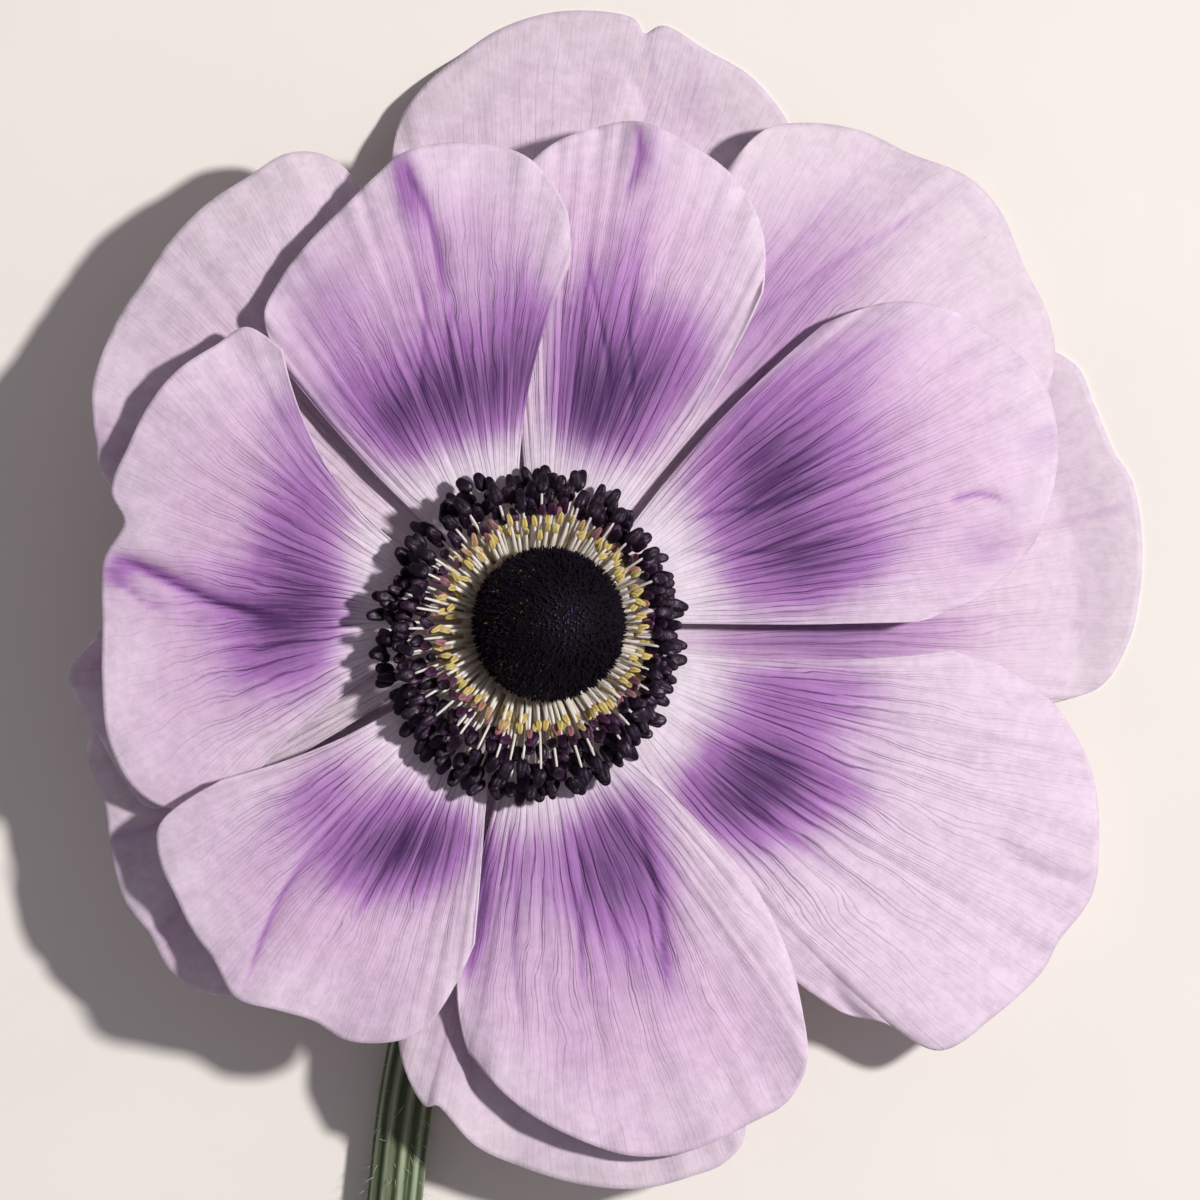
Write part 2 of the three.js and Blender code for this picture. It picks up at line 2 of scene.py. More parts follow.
# # A lilac anemone, cut and laid face up
# One open flower lies on a table with its face to the viewer and its long bare stem stretched out
# behind it. The imported model is the frame: it fixes where every petal, stamen and leaf is. This
# lesson dresses that frame. Each solid gets a finer surface of the same form, and the surfaces get
# veins, flushes of colour, hairs and pollen. Start by loading the frame. Nothing that is added may
# make the flower bigger.

# %% Load the frame
import bpy
import numpy as np
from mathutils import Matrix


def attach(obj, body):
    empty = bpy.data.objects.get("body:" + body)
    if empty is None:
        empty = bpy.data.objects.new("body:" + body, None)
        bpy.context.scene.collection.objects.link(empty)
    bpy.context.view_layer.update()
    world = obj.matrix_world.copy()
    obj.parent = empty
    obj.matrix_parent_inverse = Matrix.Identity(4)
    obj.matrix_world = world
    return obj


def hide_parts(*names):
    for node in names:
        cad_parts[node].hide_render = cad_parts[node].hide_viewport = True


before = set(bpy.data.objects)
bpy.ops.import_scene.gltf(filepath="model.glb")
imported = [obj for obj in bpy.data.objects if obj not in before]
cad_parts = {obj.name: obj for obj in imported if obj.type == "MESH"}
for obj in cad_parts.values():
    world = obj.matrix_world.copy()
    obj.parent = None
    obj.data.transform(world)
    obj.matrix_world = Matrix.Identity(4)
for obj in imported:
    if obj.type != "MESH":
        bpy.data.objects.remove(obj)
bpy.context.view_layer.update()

# %% [markdown]
# ## Millimetres from the middle of the flower
# A flower is easiest to describe from its own middle, in millimetres. The frame counts metres from
# the middle of the footprint. One shift and one division join the two, so every shape below is
# written in the flower's own measure and moved just once, when it becomes a mesh.

# %% From flower millimetres to frame metres
FOOTPRINT_SHIFT = np.array([-6.0955, 46.3640, 0.0])


def in_metres(points):
    """Adds the shift of the footprint, then divides by a thousand."""
    return (np.asarray(points, float) + FOOTPRINT_SHIFT) * 0.001


print("middle of the flower", np.round(in_metres([0, 0, 0]), 4))

# %% [markdown]
# ## Camera, table and light
# The flower is looked at from straight above, from far off, so that its outline is not stretched.
# A long lens at a long distance does that. The light is one lamp on the right, a little more than
# halfway up, small enough for crisp shadows under the petals' rims, and a pale surrounding that
# fills them softly.

# %% Camera
FRAME_WIDTH = 96.0
LENS = 900.0
SENSOR = 36.0
VIEW_X, VIEW_Y, PETAL_LEVEL = 5.52, 2.24, 11.0
middle_of_view = in_metres([VIEW_X, VIEW_Y, PETAL_LEVEL])
camera_data = bpy.data.cameras.new("view_from_above")
camera_data.lens = LENS
camera_data.sensor_width = SENSOR
camera_data.clip_start, camera_data.clip_end = 0.01, 100.0
camera = bpy.data.objects.new("view_from_above", camera_data)
bpy.context.scene.collection.objects.link(camera)
camera.location = middle_of_view + np.array([0, 0, FRAME_WIDTH * LENS / SENSOR * 0.001])
bpy.context.scene.camera = camera
print("camera height", round(camera.location.z, 3), "m")

# %% Lamp and surrounding
KEY_AZIMUTH, KEY_HEIGHT, KEY_DISTANCE = np.radians(14.0), np.radians(53.0), 1.2
KEY_SIZE, KEY_POWER, KEY_COLOUR = 0.10, 14.5, (1.0, 0.975, 0.95)
ROOM_COLOUR, ROOM_STRENGTH = (0.96, 0.91, 1.0, 1), 0.235
key_data = bpy.data.lights.new("key_lamp", "AREA")
key_data.shape = "DISK"
key_data.size, key_data.energy, key_data.color = KEY_SIZE, KEY_POWER, KEY_COLOUR
key = bpy.data.objects.new("key_lamp", key_data)
bpy.context.scene.collection.objects.link(key)
key_direction = np.array([np.cos(KEY_AZIMUTH) * np.cos(KEY_HEIGHT),
                          np.sin(KEY_AZIMUTH) * np.cos(KEY_HEIGHT), np.sin(KEY_HEIGHT)])
key.location = middle_of_view + key_direction * KEY_DISTANCE
key.rotation_euler = (np.pi / 2 - KEY_HEIGHT, 0, KEY_AZIMUTH + np.pi / 2)

surrounding = bpy.data.worlds.new("pale_room")
bpy.context.scene.world = surrounding
surrounding.use_nodes = True
surrounding.node_tree.nodes["Background"].inputs["Color"].default_value = ROOM_COLOUR
surrounding.node_tree.nodes["Background"].inputs["Strength"].default_value = ROOM_STRENGTH
bpy.context.scene.view_settings.view_transform = "Standard"
print("lamp at", [round(v, 2) for v in key.location], "m,", KEY_POWER, "W")

# %% [markdown]
# ## A short way to write materials
# Every finish here is a small network of nodes. Written out in full, a network takes pages. So what
# a node gives is wrapped in a small class that can be added and multiplied, and each sum makes its
# own node. A finish then reads like a formula, and its colour like a list of coats of paint.

# %% Node helpers
def node(tree, kind, inputs=None, **options):
    """Makes one node. Each input gets a value, or a link where another node's result is given."""
    made = tree.nodes.new(kind)
    for option, value in options.items():
        setattr(made, option, value)
    for name, value in (inputs or {}).items():
        if isinstance(value, Result):
            tree.links.new(value.socket, made.inputs[name])
        else:
            made.inputs[name].default_value = value
    return made


def paint(red, green, blue):
    """A colour as the eye reads it, 0 to 255, in the linear light that a shader counts in."""
    shown = np.array([red, green, blue]) / 255.0
    linear = np.where(shown <= 0.04045, shown / 12.92, ((shown + 0.055) / 1.055) ** 2.4)
    return (*map(float, linear), 1.0)


# %% What a node gives
class Result:
    """What a node gives: a number, a place or a colour."""

    def __init__(self, made, output=0):
        self.tree, self.socket = made.id_data, made.outputs[output]

    def math(self, operation, *others):
        """One sum or product with other numbers, or the operation's own use of them."""
        inputs = dict(enumerate((self, *others)))
        return Result(node(self.tree, "ShaderNodeMath", inputs, operation=operation))

    def __add__(self, other):
        return self.math("ADD", other)

    def __sub__(self, other):
        return self.math("SUBTRACT", other)

    def __mul__(self, other):
        return self.math("MULTIPLY", other)

    def __truediv__(self, other):
        return self.math("DIVIDE", other)

    def eased(self, low, high, start=0.0, end=1.0):
        """Rises smoothly from start to end while this number goes from low to high."""
        return Result(node(self.tree, "ShaderNodeMapRange",
                           {0: self, 1: low, 2: high, 3: start, 4: end},
                           interpolation_type="SMOOTHSTEP"))

    def between(self, *colours):
        """The first colour where this number is 0 and the second where it is 1."""
        one, other = (c if isinstance(c, Result) else paint(*c) for c in colours)
        return Result(node(self.tree, "ShaderNodeMix", {0: self, 6: one, 7: other},
                           data_type="RGBA", clamp_factor=True), 2)

    def scaled(self, number):
        """This colour, made lighter or darker."""
        return Result(node(self.tree, "ShaderNodeVectorMath", {0: self, "Scale": number},
                           operation="SCALE"))


# %% Coats, marks and patterns
def coated(colour, *coats):
    """The colour under all its coats. A coat is a share, from 0 to 1, and its colour."""
    for share, coat in coats:
        colour = share.between(colour, coat)
    return colour


def stored(tree, *names):
    """Numbers that the mesh carries at each of its points."""
    return [Result(node(tree, "ShaderNodeAttribute", attribute_name=name), "Fac") for name in names]


def own_place(tree):
    """The place on the piece, in metres."""
    return Result(node(tree, "ShaderNodeTexCoord"), "Object")


def noise(place, scale, detail, roughness=0.5):
    """Cloudy noise from 0 to 1."""
    return Result(node(place.tree, "ShaderNodeTexNoise", {
        "Vector": place, "Scale": scale, "Detail": detail, "Roughness": roughness}), "Fac")


def cells(place, scale, **options):
    """A pattern of cells: the distance to a cell's middle, or to its border if that is asked."""
    return Result(node(place.tree, "ShaderNodeTexVoronoi", {"Vector": place, "Scale": scale},
                       **options), "Distance")


def new_finish(name):
    """An empty material and its network."""
    finish = bpy.data.materials.new(name)
    finish.use_nodes = True
    finish.node_tree.nodes.clear()
    return finish, finish.node_tree


def skin(tree, inputs, height=None, strength=0.5, depth=0.0001):
    """The surface itself, with small bumps where a height is given."""
    if height is not None:
        inputs["Normal"] = Result(node(tree, "ShaderNodeBump", {
            "Height": height, "Strength": strength, "Distance": depth}))
    surface = Result(node(tree, "ShaderNodeBsdfPrincipled", inputs))
    node(tree, "ShaderNodeOutputMaterial", {"Surface": surface})


# %% Table
TABLE_HALF, TABLE_DROP = 4, 0.00002
table_finish, tree = new_finish("table_pale")
shade = noise(own_place(tree), 60.0, 3.0).between((236, 230, 224), (242, 237, 231))
skin(tree, {"Base Color": shade, "Roughness": 0.85})
table_mesh = bpy.data.meshes.new("table")
corners = [(x * TABLE_HALF, y * TABLE_HALF, 0) for x, y in ((-1, -1), (1, -1), (1, 1), (-1, 1))]
table_mesh.from_pydata(corners, [], [(0, 1, 2, 3)])
table_mesh.materials.append(table_finish)
table_top = bpy.data.objects.new("table", table_mesh)
bpy.context.scene.collection.objects.link(table_top)
table_top.location.z = -TABLE_DROP
print("table", 2 * TABLE_HALF, "m wide")

# %% [markdown]
# ## Surfaces from arrays
# Each piece is a grid of points that a formula gives all at once, and a list of the faces between
# them. One function puts such arrays into a mesh, hangs numbers on its points for the materials to
# read, gives it a finish and ties it to the frame. Faces that form a thin rim stay flat, so that
# the light does not smear round a petal's edge.

# %% From arrays to a piece
def piece(name, points, faces, finish, nodes, marks=None, flat_from=None):
    """A mesh object that rides the frame. faces is a list of index arrays, each with its own number
    of corners, and marks are numbers on the points. Faces from flat_from on stay flat."""
    mesh = bpy.data.meshes.new(name)
    corners = np.concatenate([part.ravel() for part in faces]).astype(np.int32)
    sizes = np.concatenate([np.full(len(part), part.shape[1]) for part in faces])
    mesh.vertices.add(len(points))
    mesh.vertices.foreach_set("co", in_metres(points).astype(np.float32).ravel())
    mesh.loops.add(len(corners))
    mesh.loops.foreach_set("vertex_index", corners)
    mesh.polygons.add(len(sizes))
    starts = np.concatenate([[0], np.cumsum(sizes)[:-1]])
    mesh.polygons.foreach_set("loop_start", starts.astype(np.int32))
    smooth = np.ones(len(sizes), bool)
    smooth[flat_from:] = flat_from is None
    mesh.polygons.foreach_set("use_smooth", smooth)
    mesh.update(calc_edges=True)
    for mark, values in (marks or {}).items():
        layer = mesh.attributes.new(mark, "FLOAT", "POINT")
        layer.data.foreach_set("value", np.asarray(values, np.float32).ravel())
    mesh.materials.append(finish)
    made = bpy.data.objects.new("dressed_" + name, mesh)
    bpy.context.scene.collection.objects.link(made)
    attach(made, "root")
    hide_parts(*nodes)
    triangles = int((sizes - 2).sum())
    print(f"{name}: {len(points)} points, {triangles} triangles")
    return made


# %% [markdown]
# ## Petals: the shape
# An anemone's petals stand in two whorls. Each is a thin blade on a narrow claw. It widens in a soft
# curve, and its rim is never quite round. The rim is the part that the eye checks, so it is drawn as
# a free curve, in degrees and millimetres from the claw. The blade is then ruled from the claw to
# that rim, with the sides swelling outwards. Its height follows the arch of the whorl, and on top of
# that come the lift of each side, the sag of the tip and the waves of the rim. The frame was made
# from the same rule, so the fine petal lies inside the frame's thicker one.

# %% The two whorls and the lean of the head
LEAN, LEAN_AZIMUTH, LEAN_PIVOT, PLANE_FALL = np.radians(8.0), np.radians(16.0), 10.5, 0.0875
WHORLS = {
    "inner": dict(seat_radius=7.0, seat_height=12.2, rise=0.11, fall=0.0042, claw_half=2.3),
    "outer": dict(seat_radius=6.0, seat_height=9.6, rise=0.06, fall=0.0048, claw_half=1.6),
}
print("whorls seated at", [whorl["seat_height"] for whorl in WHORLS.values()], "mm")

# %% [markdown]
# Each petal has its seat and heading in degrees, the swell of its two sides (bow), the height of its
# clockwise side, middle and other side over the whorl (lift), the sag of the tip, the ruffle of the
# rim, and the rim's points. Then come two lists that only this dressed petal has. A flush is a soft
# patch of deep violet: its middle x and y, its half-length along the petal, its half-width and its
# strength. A few flushes are partly or wholly painted shade, where the petal lies under another or
# turns away from the lamp. A crease is a fold from one place to another: its two ends, its depth,
# its width and the strength of the painted shade laid along the fold.

# %% The inner whorl
INNER_PETALS = {
    "petal_inner_right": dict(
        seat=22, heading=19, bow=(0.4, 2), lift=(-0.1, 0, -0.8), sag=0.4, ruffle=0.35,
        rim=[(-24, 24.5), (-19, 29.5), (-13, 33.5), (-6, 36.2), (1, 38), (8, 38.5), (15, 37),
             (22, 35.2), (28, 32), (33, 27.5)],
        flushes_and_shades=[(18.8, 10.8, 6, 6.1, 1.06), (24, 15, 6.5, 4.6, 0.42), (23.5, 20.5, 8, 3, 0.45),
                 (22.5, 5, 6.2, 3, 0.8), (28, 9, 7, 5, 0.14), (37, 6.5, 2.5, 2, 0.3),
                 (41, 15, 2, 1.5, 0.25)],
        creases=[(33.5, 10.6, 38.5, 10.2, 0.3, 0.6, 0.5), (14, 14, 25, 24, 0.1, 0.5, 0.1),
                 (12, 8.5, 29, 13, 0.08, 0.4, 0.35), (12, 6, 27, 7, 0.08, 0.4, 0.25)]),
    "petal_inner_top": dict(
        seat=72, heading=78, bow=(2.5, 0), lift=(0.8, 0, -0.8), sag=0.2, ruffle=0.3,
        rim=[(-27, 26), (-22, 29.5), (-15, 32.3), (-7, 33.7), (1, 34.5), (7, 33.5), (13, 32),
             (18, 29.5), (22, 25.5)],
        flushes_and_shades=[(7.8, 18.2, 6, 3.2, 1.1), (4, 22, 6, 2.2, 0.75), (12.5, 22, 5, 3.5, 0.42),
                 (8, 29, 7, 2, 0.35), (4.2, 17.2, 4, 2, 0.55), (3, 28, 7, 3, 0.2),
                 (9, 38, 3, 1.5, 0.35)],
        creases=[(8.8, 40.6, 7.8, 34, 0.22, 0.6, 0.35), (6.2, 17, 5, 30, 0.1, 0.4, 0.45),
                 (7.8, 17, 8.6, 30, 0.1, 0.4, 0.4)]),
    "petal_inner_top_left": dict(
        seat=115, heading=98, bow=(-3, 1.2), lift=(0.9, 0.1, -1.1), sag=0, ruffle=0.3,
        rim=[(-23, 23.5), (-20, 27.8), (-13, 31.4), (-5, 32.5), (4, 32.6), (10, 31.2), (16, 29.8),
             (24, 28.5), (31, 27.4), (37, 26), (41, 22.5)],
        flushes_and_shades=[(-5.5, 19, 4.5, 4.5, 1.05), (-10.5, 17, 3.5, 3, 0.8), (0, 22, 6, 3, 0.8),
                 (-15, 19.5, 6, 4.5, 0.4), (-3, 29, 7, 4, 0.18), (-16, 27, 6, 4, 0.22),
                 (-8, 28, 7, 4, 0.25), (-10, 35.5, 3.5, 1, 0.6)],
        creases=[(-9.9, 37, -6.3, 26, 0.22, 0.6, 0.45), (-6.3, 26, -6, 18, 0.1, 0.5, 0.45),
                 (-9, 28, -8.2, 18, 0.08, 0.4, 0.3)]),
    "petal_inner_left": dict(
        seat=168, heading=178, bow=(-5.4, -2.5), lift=(1.1, 0.2, -0.8), sag=0.2, ruffle=0.4,
        rim=[(-56, 24.5), (-53, 27.6), (-47, 28), (-40, 28.7), (-33, 28.8), (-25, 28.5), (-18, 28.4),
             (-13, 26.6), (-6, 27.6), (4, 27.4), (14, 28), (24, 28.9), (33, 28.5), (39, 26.5),
             (44, 22.5)],
        flushes_and_shades=[(-18.5, 9, 4, 6, 0.78), (-20, -1, 5, 4.5, 0.95), (-17.5, 3, 4, 3.5, 0.5),
                 (-27, 3, 5, 3, 0.3), (-24, -6, 4, 4, 0.1), (-19, 17, 3.5, 3.5, 0.35),
                 (-33, 4.5, 1.6, 1.2, 0.7)],
        creases=[(-33.2, 5.4, -20.3, 0.9, 0.62, 0.75, 0.9), (-33.5, 3.4, -29, 1.8, 0.18, 0.6, 0.3)]),
    "petal_inner_lower_left": dict(
        seat=228, heading=240, bow=(-2, 0), lift=(1, 0.3, 0.9), sag=0.2, ruffle=0.35,
        rim=[(-41, 21), (-38, 26.5), (-33, 28.2), (-26, 28.7), (-20, 29.3), (-14, 29.7), (-8, 30.8),
             (-2, 29.8), (4, 29.1), (10, 29.5), (17, 28.6), (22, 27), (26.5, 23.5), (30.5, 20)],
        flushes_and_shades=[(-10, -17.2, 4.3, 4.2, 1), (-14, -18.3, 3.3, 3.1, 0.55), (-7, -17, 4, 2.5, 0.5),
                 (-17, -13.2, 5, 2.6, 0.5), (-19, -15.5, 8, 6, 0.08), (-21, -24, 6, 1, 0.22)],
        creases=[(-23.4, -28.8, -17.5, -17.5, 0.16, 0.5, 0.4), (-9.5, -14, -14, -24, 0.1, 0.4, 0.35)]),
    "petal_inner_bottom": dict(
        seat=280, heading=283, bow=(0, 1), lift=(-0.8, 0.1, 1), sag=0.4, ruffle=0.35,
        rim=[(-35, 17.5), (-31.5, 22.5), (-27, 27), (-24, 28.5), (-17, 31.4), (-9, 34), (-2, 36),
             (5, 36.8), (13, 36.6), (19, 36.5), (24, 34.7), (28, 31.2), (33, 26.5), (38, 21)],
        flushes_and_shades=[(8, -19, 5.5, 3.2, 1), (3, -19, 5, 3, 0.55), (10.5, -27, 4, 2, 0.35),
                 # The flush at (-4.2, -21) is painted shade along the petal's left edge, which turns
                 # away from the lamp.
                 (-4.2, -21, 8, 1.6, 0.5), (5.5, -25, 6, 2, 0.25), (-1.5, -18, 4, 2, 0.35),
                 (6.5, -22, 5, 1.2, 0.3), (-1, -25, 6, 2.5, 0.22), (7, -14, 3, 3, 0.4),
                 (3, -33, 6, 3, 0.2)],
        # The crease from (-3.6, -15) is barely a fold. Its dark line is painted shade along that same
        # edge.
        creases=[(8.6, -15, 11.2, -28.5, 0.14, 0.5, 0.5), (-3.6, -15, -5, -28.5, 0.05, 1.1, 0.7),
                 (3.5, -16, 4.5, -30, 0.1, 0.4, 0.35), (-1.5, -19, -0.5, -33, 0.1, 0.4, 0.2)]),
    "petal_inner_lower_right": dict(
        seat=332, heading=340, bow=(5, -2), lift=(-1.1, 0, 0), sag=0.6, ruffle=0.4, pale=0.75,
        rim=[(-40, 27), (-36, 33), (-32, 36), (-29, 40.5), (-22, 41.6), (-15, 42.4), (-11, 42.2),
             (-5, 42.8), (1, 41.6), (7, 40), (11, 38.3), (16, 35.5), (20, 32), (23, 27.5)],
        flushes_and_shades=[(20, -5.5, 5, 2.8, 0.62), (19, -12, 5, 4.5, 1.25), (16.5, -15.5, 4, 2.5, 0.35),
                 (26, -5, 4, 2.5, 0.42), (25, -13, 3.5, 3, 0.25), (14, -13, 3, 3, 0.4),
                 (33, -12, 6, 6, 0.05)],
        creases=[(23.5, -27.6, 27.4, -31.6, 0.34, 0.8, 0.15),
                 (37.5, -17.4, 45.2, -21.2, 0.3, 0.7, 0.15), (15, -9, 30, -14.5, 0.08, 0.4, 0.2),
                 (15, -13, 28, -22, 0.08, 0.4, 0.25)]),
}

# %% The outer whorl
OUTER_PETALS = {
    "petal_outer_right": dict(
        seat=-5, heading=7, bow=(0.5, 0), lift=(0, 0, -0.8), sag=1.7, ruffle=0.4,
        rim=[(-29, 23), (-21, 30.5), (-16, 36), (-13, 40), (-8, 42), (-3, 43), (3, 43.8), (9, 44.1),
             (13, 43.4), (18, 43.4), (23, 43.5), (27, 41), (29, 35)],
        # The first flush is the petal's mauve with painted shadow of the inner petals above laid over
        # it.
        flushes_and_shades=[(22, -1, 9, 3.5, 0.95), (30, 0, 7, 3.5, 0.35)],
        creases=[(49, 10.4, 34, 5.2, 0.24, 0.7, 0.35), (46, 0, 36, 1, 0.12, 0.6, 0.1)]),
    "petal_outer_top_right": dict(
        seat=46, heading=44, bow=(0.5, 0.5), lift=(0.9, 0.4, 0.9), sag=-1.6, ruffle=0.5,
        rim=[(-33, 23), (-30, 31), (-25, 38), (-20, 41.4), (-15, 42.7), (-9, 43.2), (-3, 44.4),
             (2, 44.4), (8, 42.8), (14, 42), (20, 40.3), (24, 38.3), (26.5, 34), (28.5, 27)],
        flushes_and_shades=[(17, 24, 8, 6, 0.6), (24, 29, 8, 5, 0.35)],
        creases=[(16, 23, 34, 36, 0.12, 0.5, 0.3), (17, 26, 27, 38, 0.1, 0.5, 0.2),
                 (34, 34.7, 37, 32, 0.16, 0.6, 0.15)]),
    "petal_outer_top": dict(
        seat=95, heading=83, bow=(0.5, 0.5), lift=(-0.8, 0, 0.2), sag=4.2, ruffle=0.4,
        rim=[(-33, 22.5), (-31, 30), (-29, 36), (-26, 39.8), (-19, 42.3), (-13, 43), (-8, 43.9),
             (-6, 42.9), (-4, 44), (3, 43.7), (9, 42.4), (14, 40.5), (20, 38), (24, 35.3), (28, 30),
             (32, 23)],
        flushes_and_shades=[(12, 41, 4, 2, 0.25)],
        creases=[(9.3, 48.2, 9.6, 40, 0.34, 0.7, 0.25), (5, 47, 5.5, 38, 0.12, 0.6, 0.1),
                 (14, 46, 12.5, 38, 0.14, 0.6, 0.15)]),
    "petal_outer_top_left": dict(
        seat=143, heading=135, bow=(0, 0.5), lift=(0, 0.3, 1.2), sag=-2.4, ruffle=0.5,
        rim=[(-30, 32), (-27, 35.7), (-22, 37.4), (-16, 37.1), (-10, 37), (-3, 36.4), (2, 35.7),
             (7, 35.4), (12, 34.9), (18, 34), (24, 32.2), (29, 30.5), (33, 27), (37, 21)],
        flushes_and_shades=[(-27, 24, 5, 4, 0.15), (-34, 15, 4, 2, 0.3)],
        creases=[(-29, 31.5, -21, 22, 0.12, 0.6, 0.1), (-34.5, 18, -25, 18, 0.12, 0.6, 0.1)]),
    "petal_outer_left": dict(
        seat=186, heading=186, bow=(0, 0), lift=(-0.6, 0.4, 1.9), sag=-0.7, ruffle=0.4,
        rim=[(-31, 15), (-22, 21), (-13, 26.3), (-6, 28.8), (-1, 31), (4, 30.8), (10, 29.7), (17, 29),
             (23, 28.2), (26, 25), (30.5, 19)],
        flushes_and_shades=[(-34, -3, 5, 3, 0.3)],
        creases=[(-35.5, -3, -29, -2, 0.12, 0.6, 0.2)]),
    "petal_outer_lower_left": dict(
        seat=228, heading=208, bow=(0, 0.5), lift=(-1.4, 0.6, 1.9), sag=-0.8, ruffle=0.4,
        rim=[(-27, 22.5), (-24, 29), (-19, 31.9), (-11, 31.6), (-4, 32.4), (3, 33.4), (9, 33.2),
             (15, 33.9), (20, 33.2), (24, 31.4), (28, 27), (33, 20)],
        flushes_and_shades=[(-32, -18, 3, 2, 0.3), (-29, -25, 3, 3, 0.3)],
        creases=[(-34, -17.5, -28, -14.5, 0.3, 0.8, 0.3), (-30, -24, -25, -20, 0.16, 0.6, 0.2)]),
    "petal_outer_bottom": dict(
        seat=275, heading=277, bow=(0, 0.5), lift=(0, 0, 0), sag=-3.5, ruffle=0.5,
        rim=[(-36, 18), (-32, 26), (-28, 30.4), (-23, 33.4), (-20.5, 33.3), (-15, 35.8), (-9, 37.2),
             (-2, 38.7), (5, 39.8), (11, 39.9), (15, 39.8), (18.5, 38.5), (21, 35), (24.5, 29),
             (28, 22)],
        flushes_and_shades=[(-6, -33, 5, 2.5, 0.25)],
        creases=[(-4, -40, -5, -32, 0.14, 0.6, 0.1), (8, -44.5, 7, -38, 0.12, 0.6, 0.1)]),
}
print(len(INNER_PETALS), "inner petals,", len(OUTER_PETALS), "outer petals")

# %% [markdown]
# The rim curve runs smoothly through its points. Its slope at each point is half the step from the
# point before to the point after, which is the oldest and simplest of such curves, and it never
# needs handles to be set by hand.

# %% A smooth curve through points
def eased_step(value, low, high):
    """0 below low, 1 above high, and in between three squares less two cubes of the share."""
    share = np.clip((value - low) / (high - low), 0, 1)
    return share * share * (3 - 2 * share)


def curve_through(points, share):
    """The place at a share of the way, by cubics whose slope is half the step between neighbours."""
    points = np.asarray(points, float)
    last = len(points) - 1
    way = np.clip(share, 0, 1) * last
    k = np.minimum(way.astype(int), last - 1)
    w = (way - k)[..., None]
    before, here = points[np.maximum(k - 1, 0)], points[k]
    there, after = points[k + 1], points[np.minimum(k + 2, last)]
    leave, arrive = (there - before) / 2, (after - here) / 2
    return ((2 * here - 2 * there + leave + arrive) * w ** 3
            + (3 * there - 3 * here - 2 * leave - arrive) * w ** 2 + leave * w + here)


# %% The blade of a petal
def blade(petal, whorl, across, along):
    """The middle surface. across is -1 to 1 from the clockwise side, along is 0 at the claw and 1 at
    the rim. Plan: a curve of three points from the claw to the rim, whose middle one is pushed out
    by bow times across to the power 1.2. Height: seat + rise * d - fall * d * d for a distance d
    from the seat, less the lean, plus the lift of the side, plus the rim's waves, less the sag."""
    seat, heading = np.radians(petal["seat"]), np.radians(petal["heading"])
    middle = np.array([np.cos(seat), np.sin(seat)]) * whorl["seat_radius"]
    root = middle + np.array([-np.sin(seat), np.cos(seat)]) * whorl["claw_half"] * across[..., None]
    margin = curve_through(petal["rim"], (across + 1) / 2)
    turn = heading + np.radians(margin[..., 0])
    tip = middle + margin[..., 1:] * np.stack([np.cos(turn), np.sin(turn)], -1)
    chord = (tip - root) / np.linalg.norm(tip - root, axis=-1, keepdims=True)
    outward = np.stack([-chord[..., 1], chord[..., 0]], -1) * np.sign(across)[..., None]
    swell = np.where(across < 0, petal["bow"][0], petal["bow"][1]) * np.abs(across) ** 1.2
    bend = (root + tip) / 2 + outward * swell[..., None]
    t = along[..., None]
    plan = (1 - t) ** 2 * root + 2 * t * (1 - t) * bend + t ** 2 * tip
    x, y = plan[..., 0], plan[..., 1]

    clockwise, mid, other = petal["lift"]
    side = mid + across * (other - clockwise) / 2 + across ** 2 * ((other + clockwise) / 2 - mid)
    out = np.linalg.norm(plan - middle, axis=-1) / max(reach for _, reach in petal["rim"])
    waves = np.sin(across * 7.3 + petal["seat"]) + 0.6 * np.sin(across * 12.1 + petal["heading"])
    d = np.hypot(x, y) - whorl["seat_radius"]
    leaning = PLANE_FALL * (x * np.cos(LEAN_AZIMUTH) + y * np.sin(LEAN_AZIMUTH))
    height = (whorl["seat_height"] + whorl["rise"] * d - whorl["fall"] * d * d - leaning
              + side * eased_step(along, 0, 0.2) + petal["ruffle"] * waves * along ** 5
              - petal["sag"] * out ** 2.5)
    return np.stack([x, y, height], -1)


# %% [markdown]
# A petal is not smooth. Long shallow furrows run down it between the veins, the rim has short
# waves, and here and there it was folded in the bud and kept the crease. These measure from a few
# hundredths of a millimetre to six tenths. With a lamp from the side they are what makes the
# surface read as a petal rather than as plastic.

# %% Furrows, small waves and creases
FURROW_DEPTH, FINE_FURROW_DEPTH, SHORT_WAVE, ROLLING = 0.045, 0.030, 0.13, 0.12


def beside(x, y, crease):
    """Distance from the crease's line with a sign, and a share that fades out towards its ends."""
    x0, y0, x1, y1 = crease[:4]
    length = np.hypot(x1 - x0, y1 - y0)
    ahead = ((x - x0) * (x1 - x0) + (y - y0) * (y1 - y0)) / length ** 2
    aside = ((y - y0) * (x1 - x0) - (x - x0) * (y1 - y0)) / length
    aside = aside + 0.35 * np.sin(ahead * 5 + x0)
    return aside, eased_step(ahead, -0.12, 0.2) * eased_step(-ahead, -1.1, -0.75)


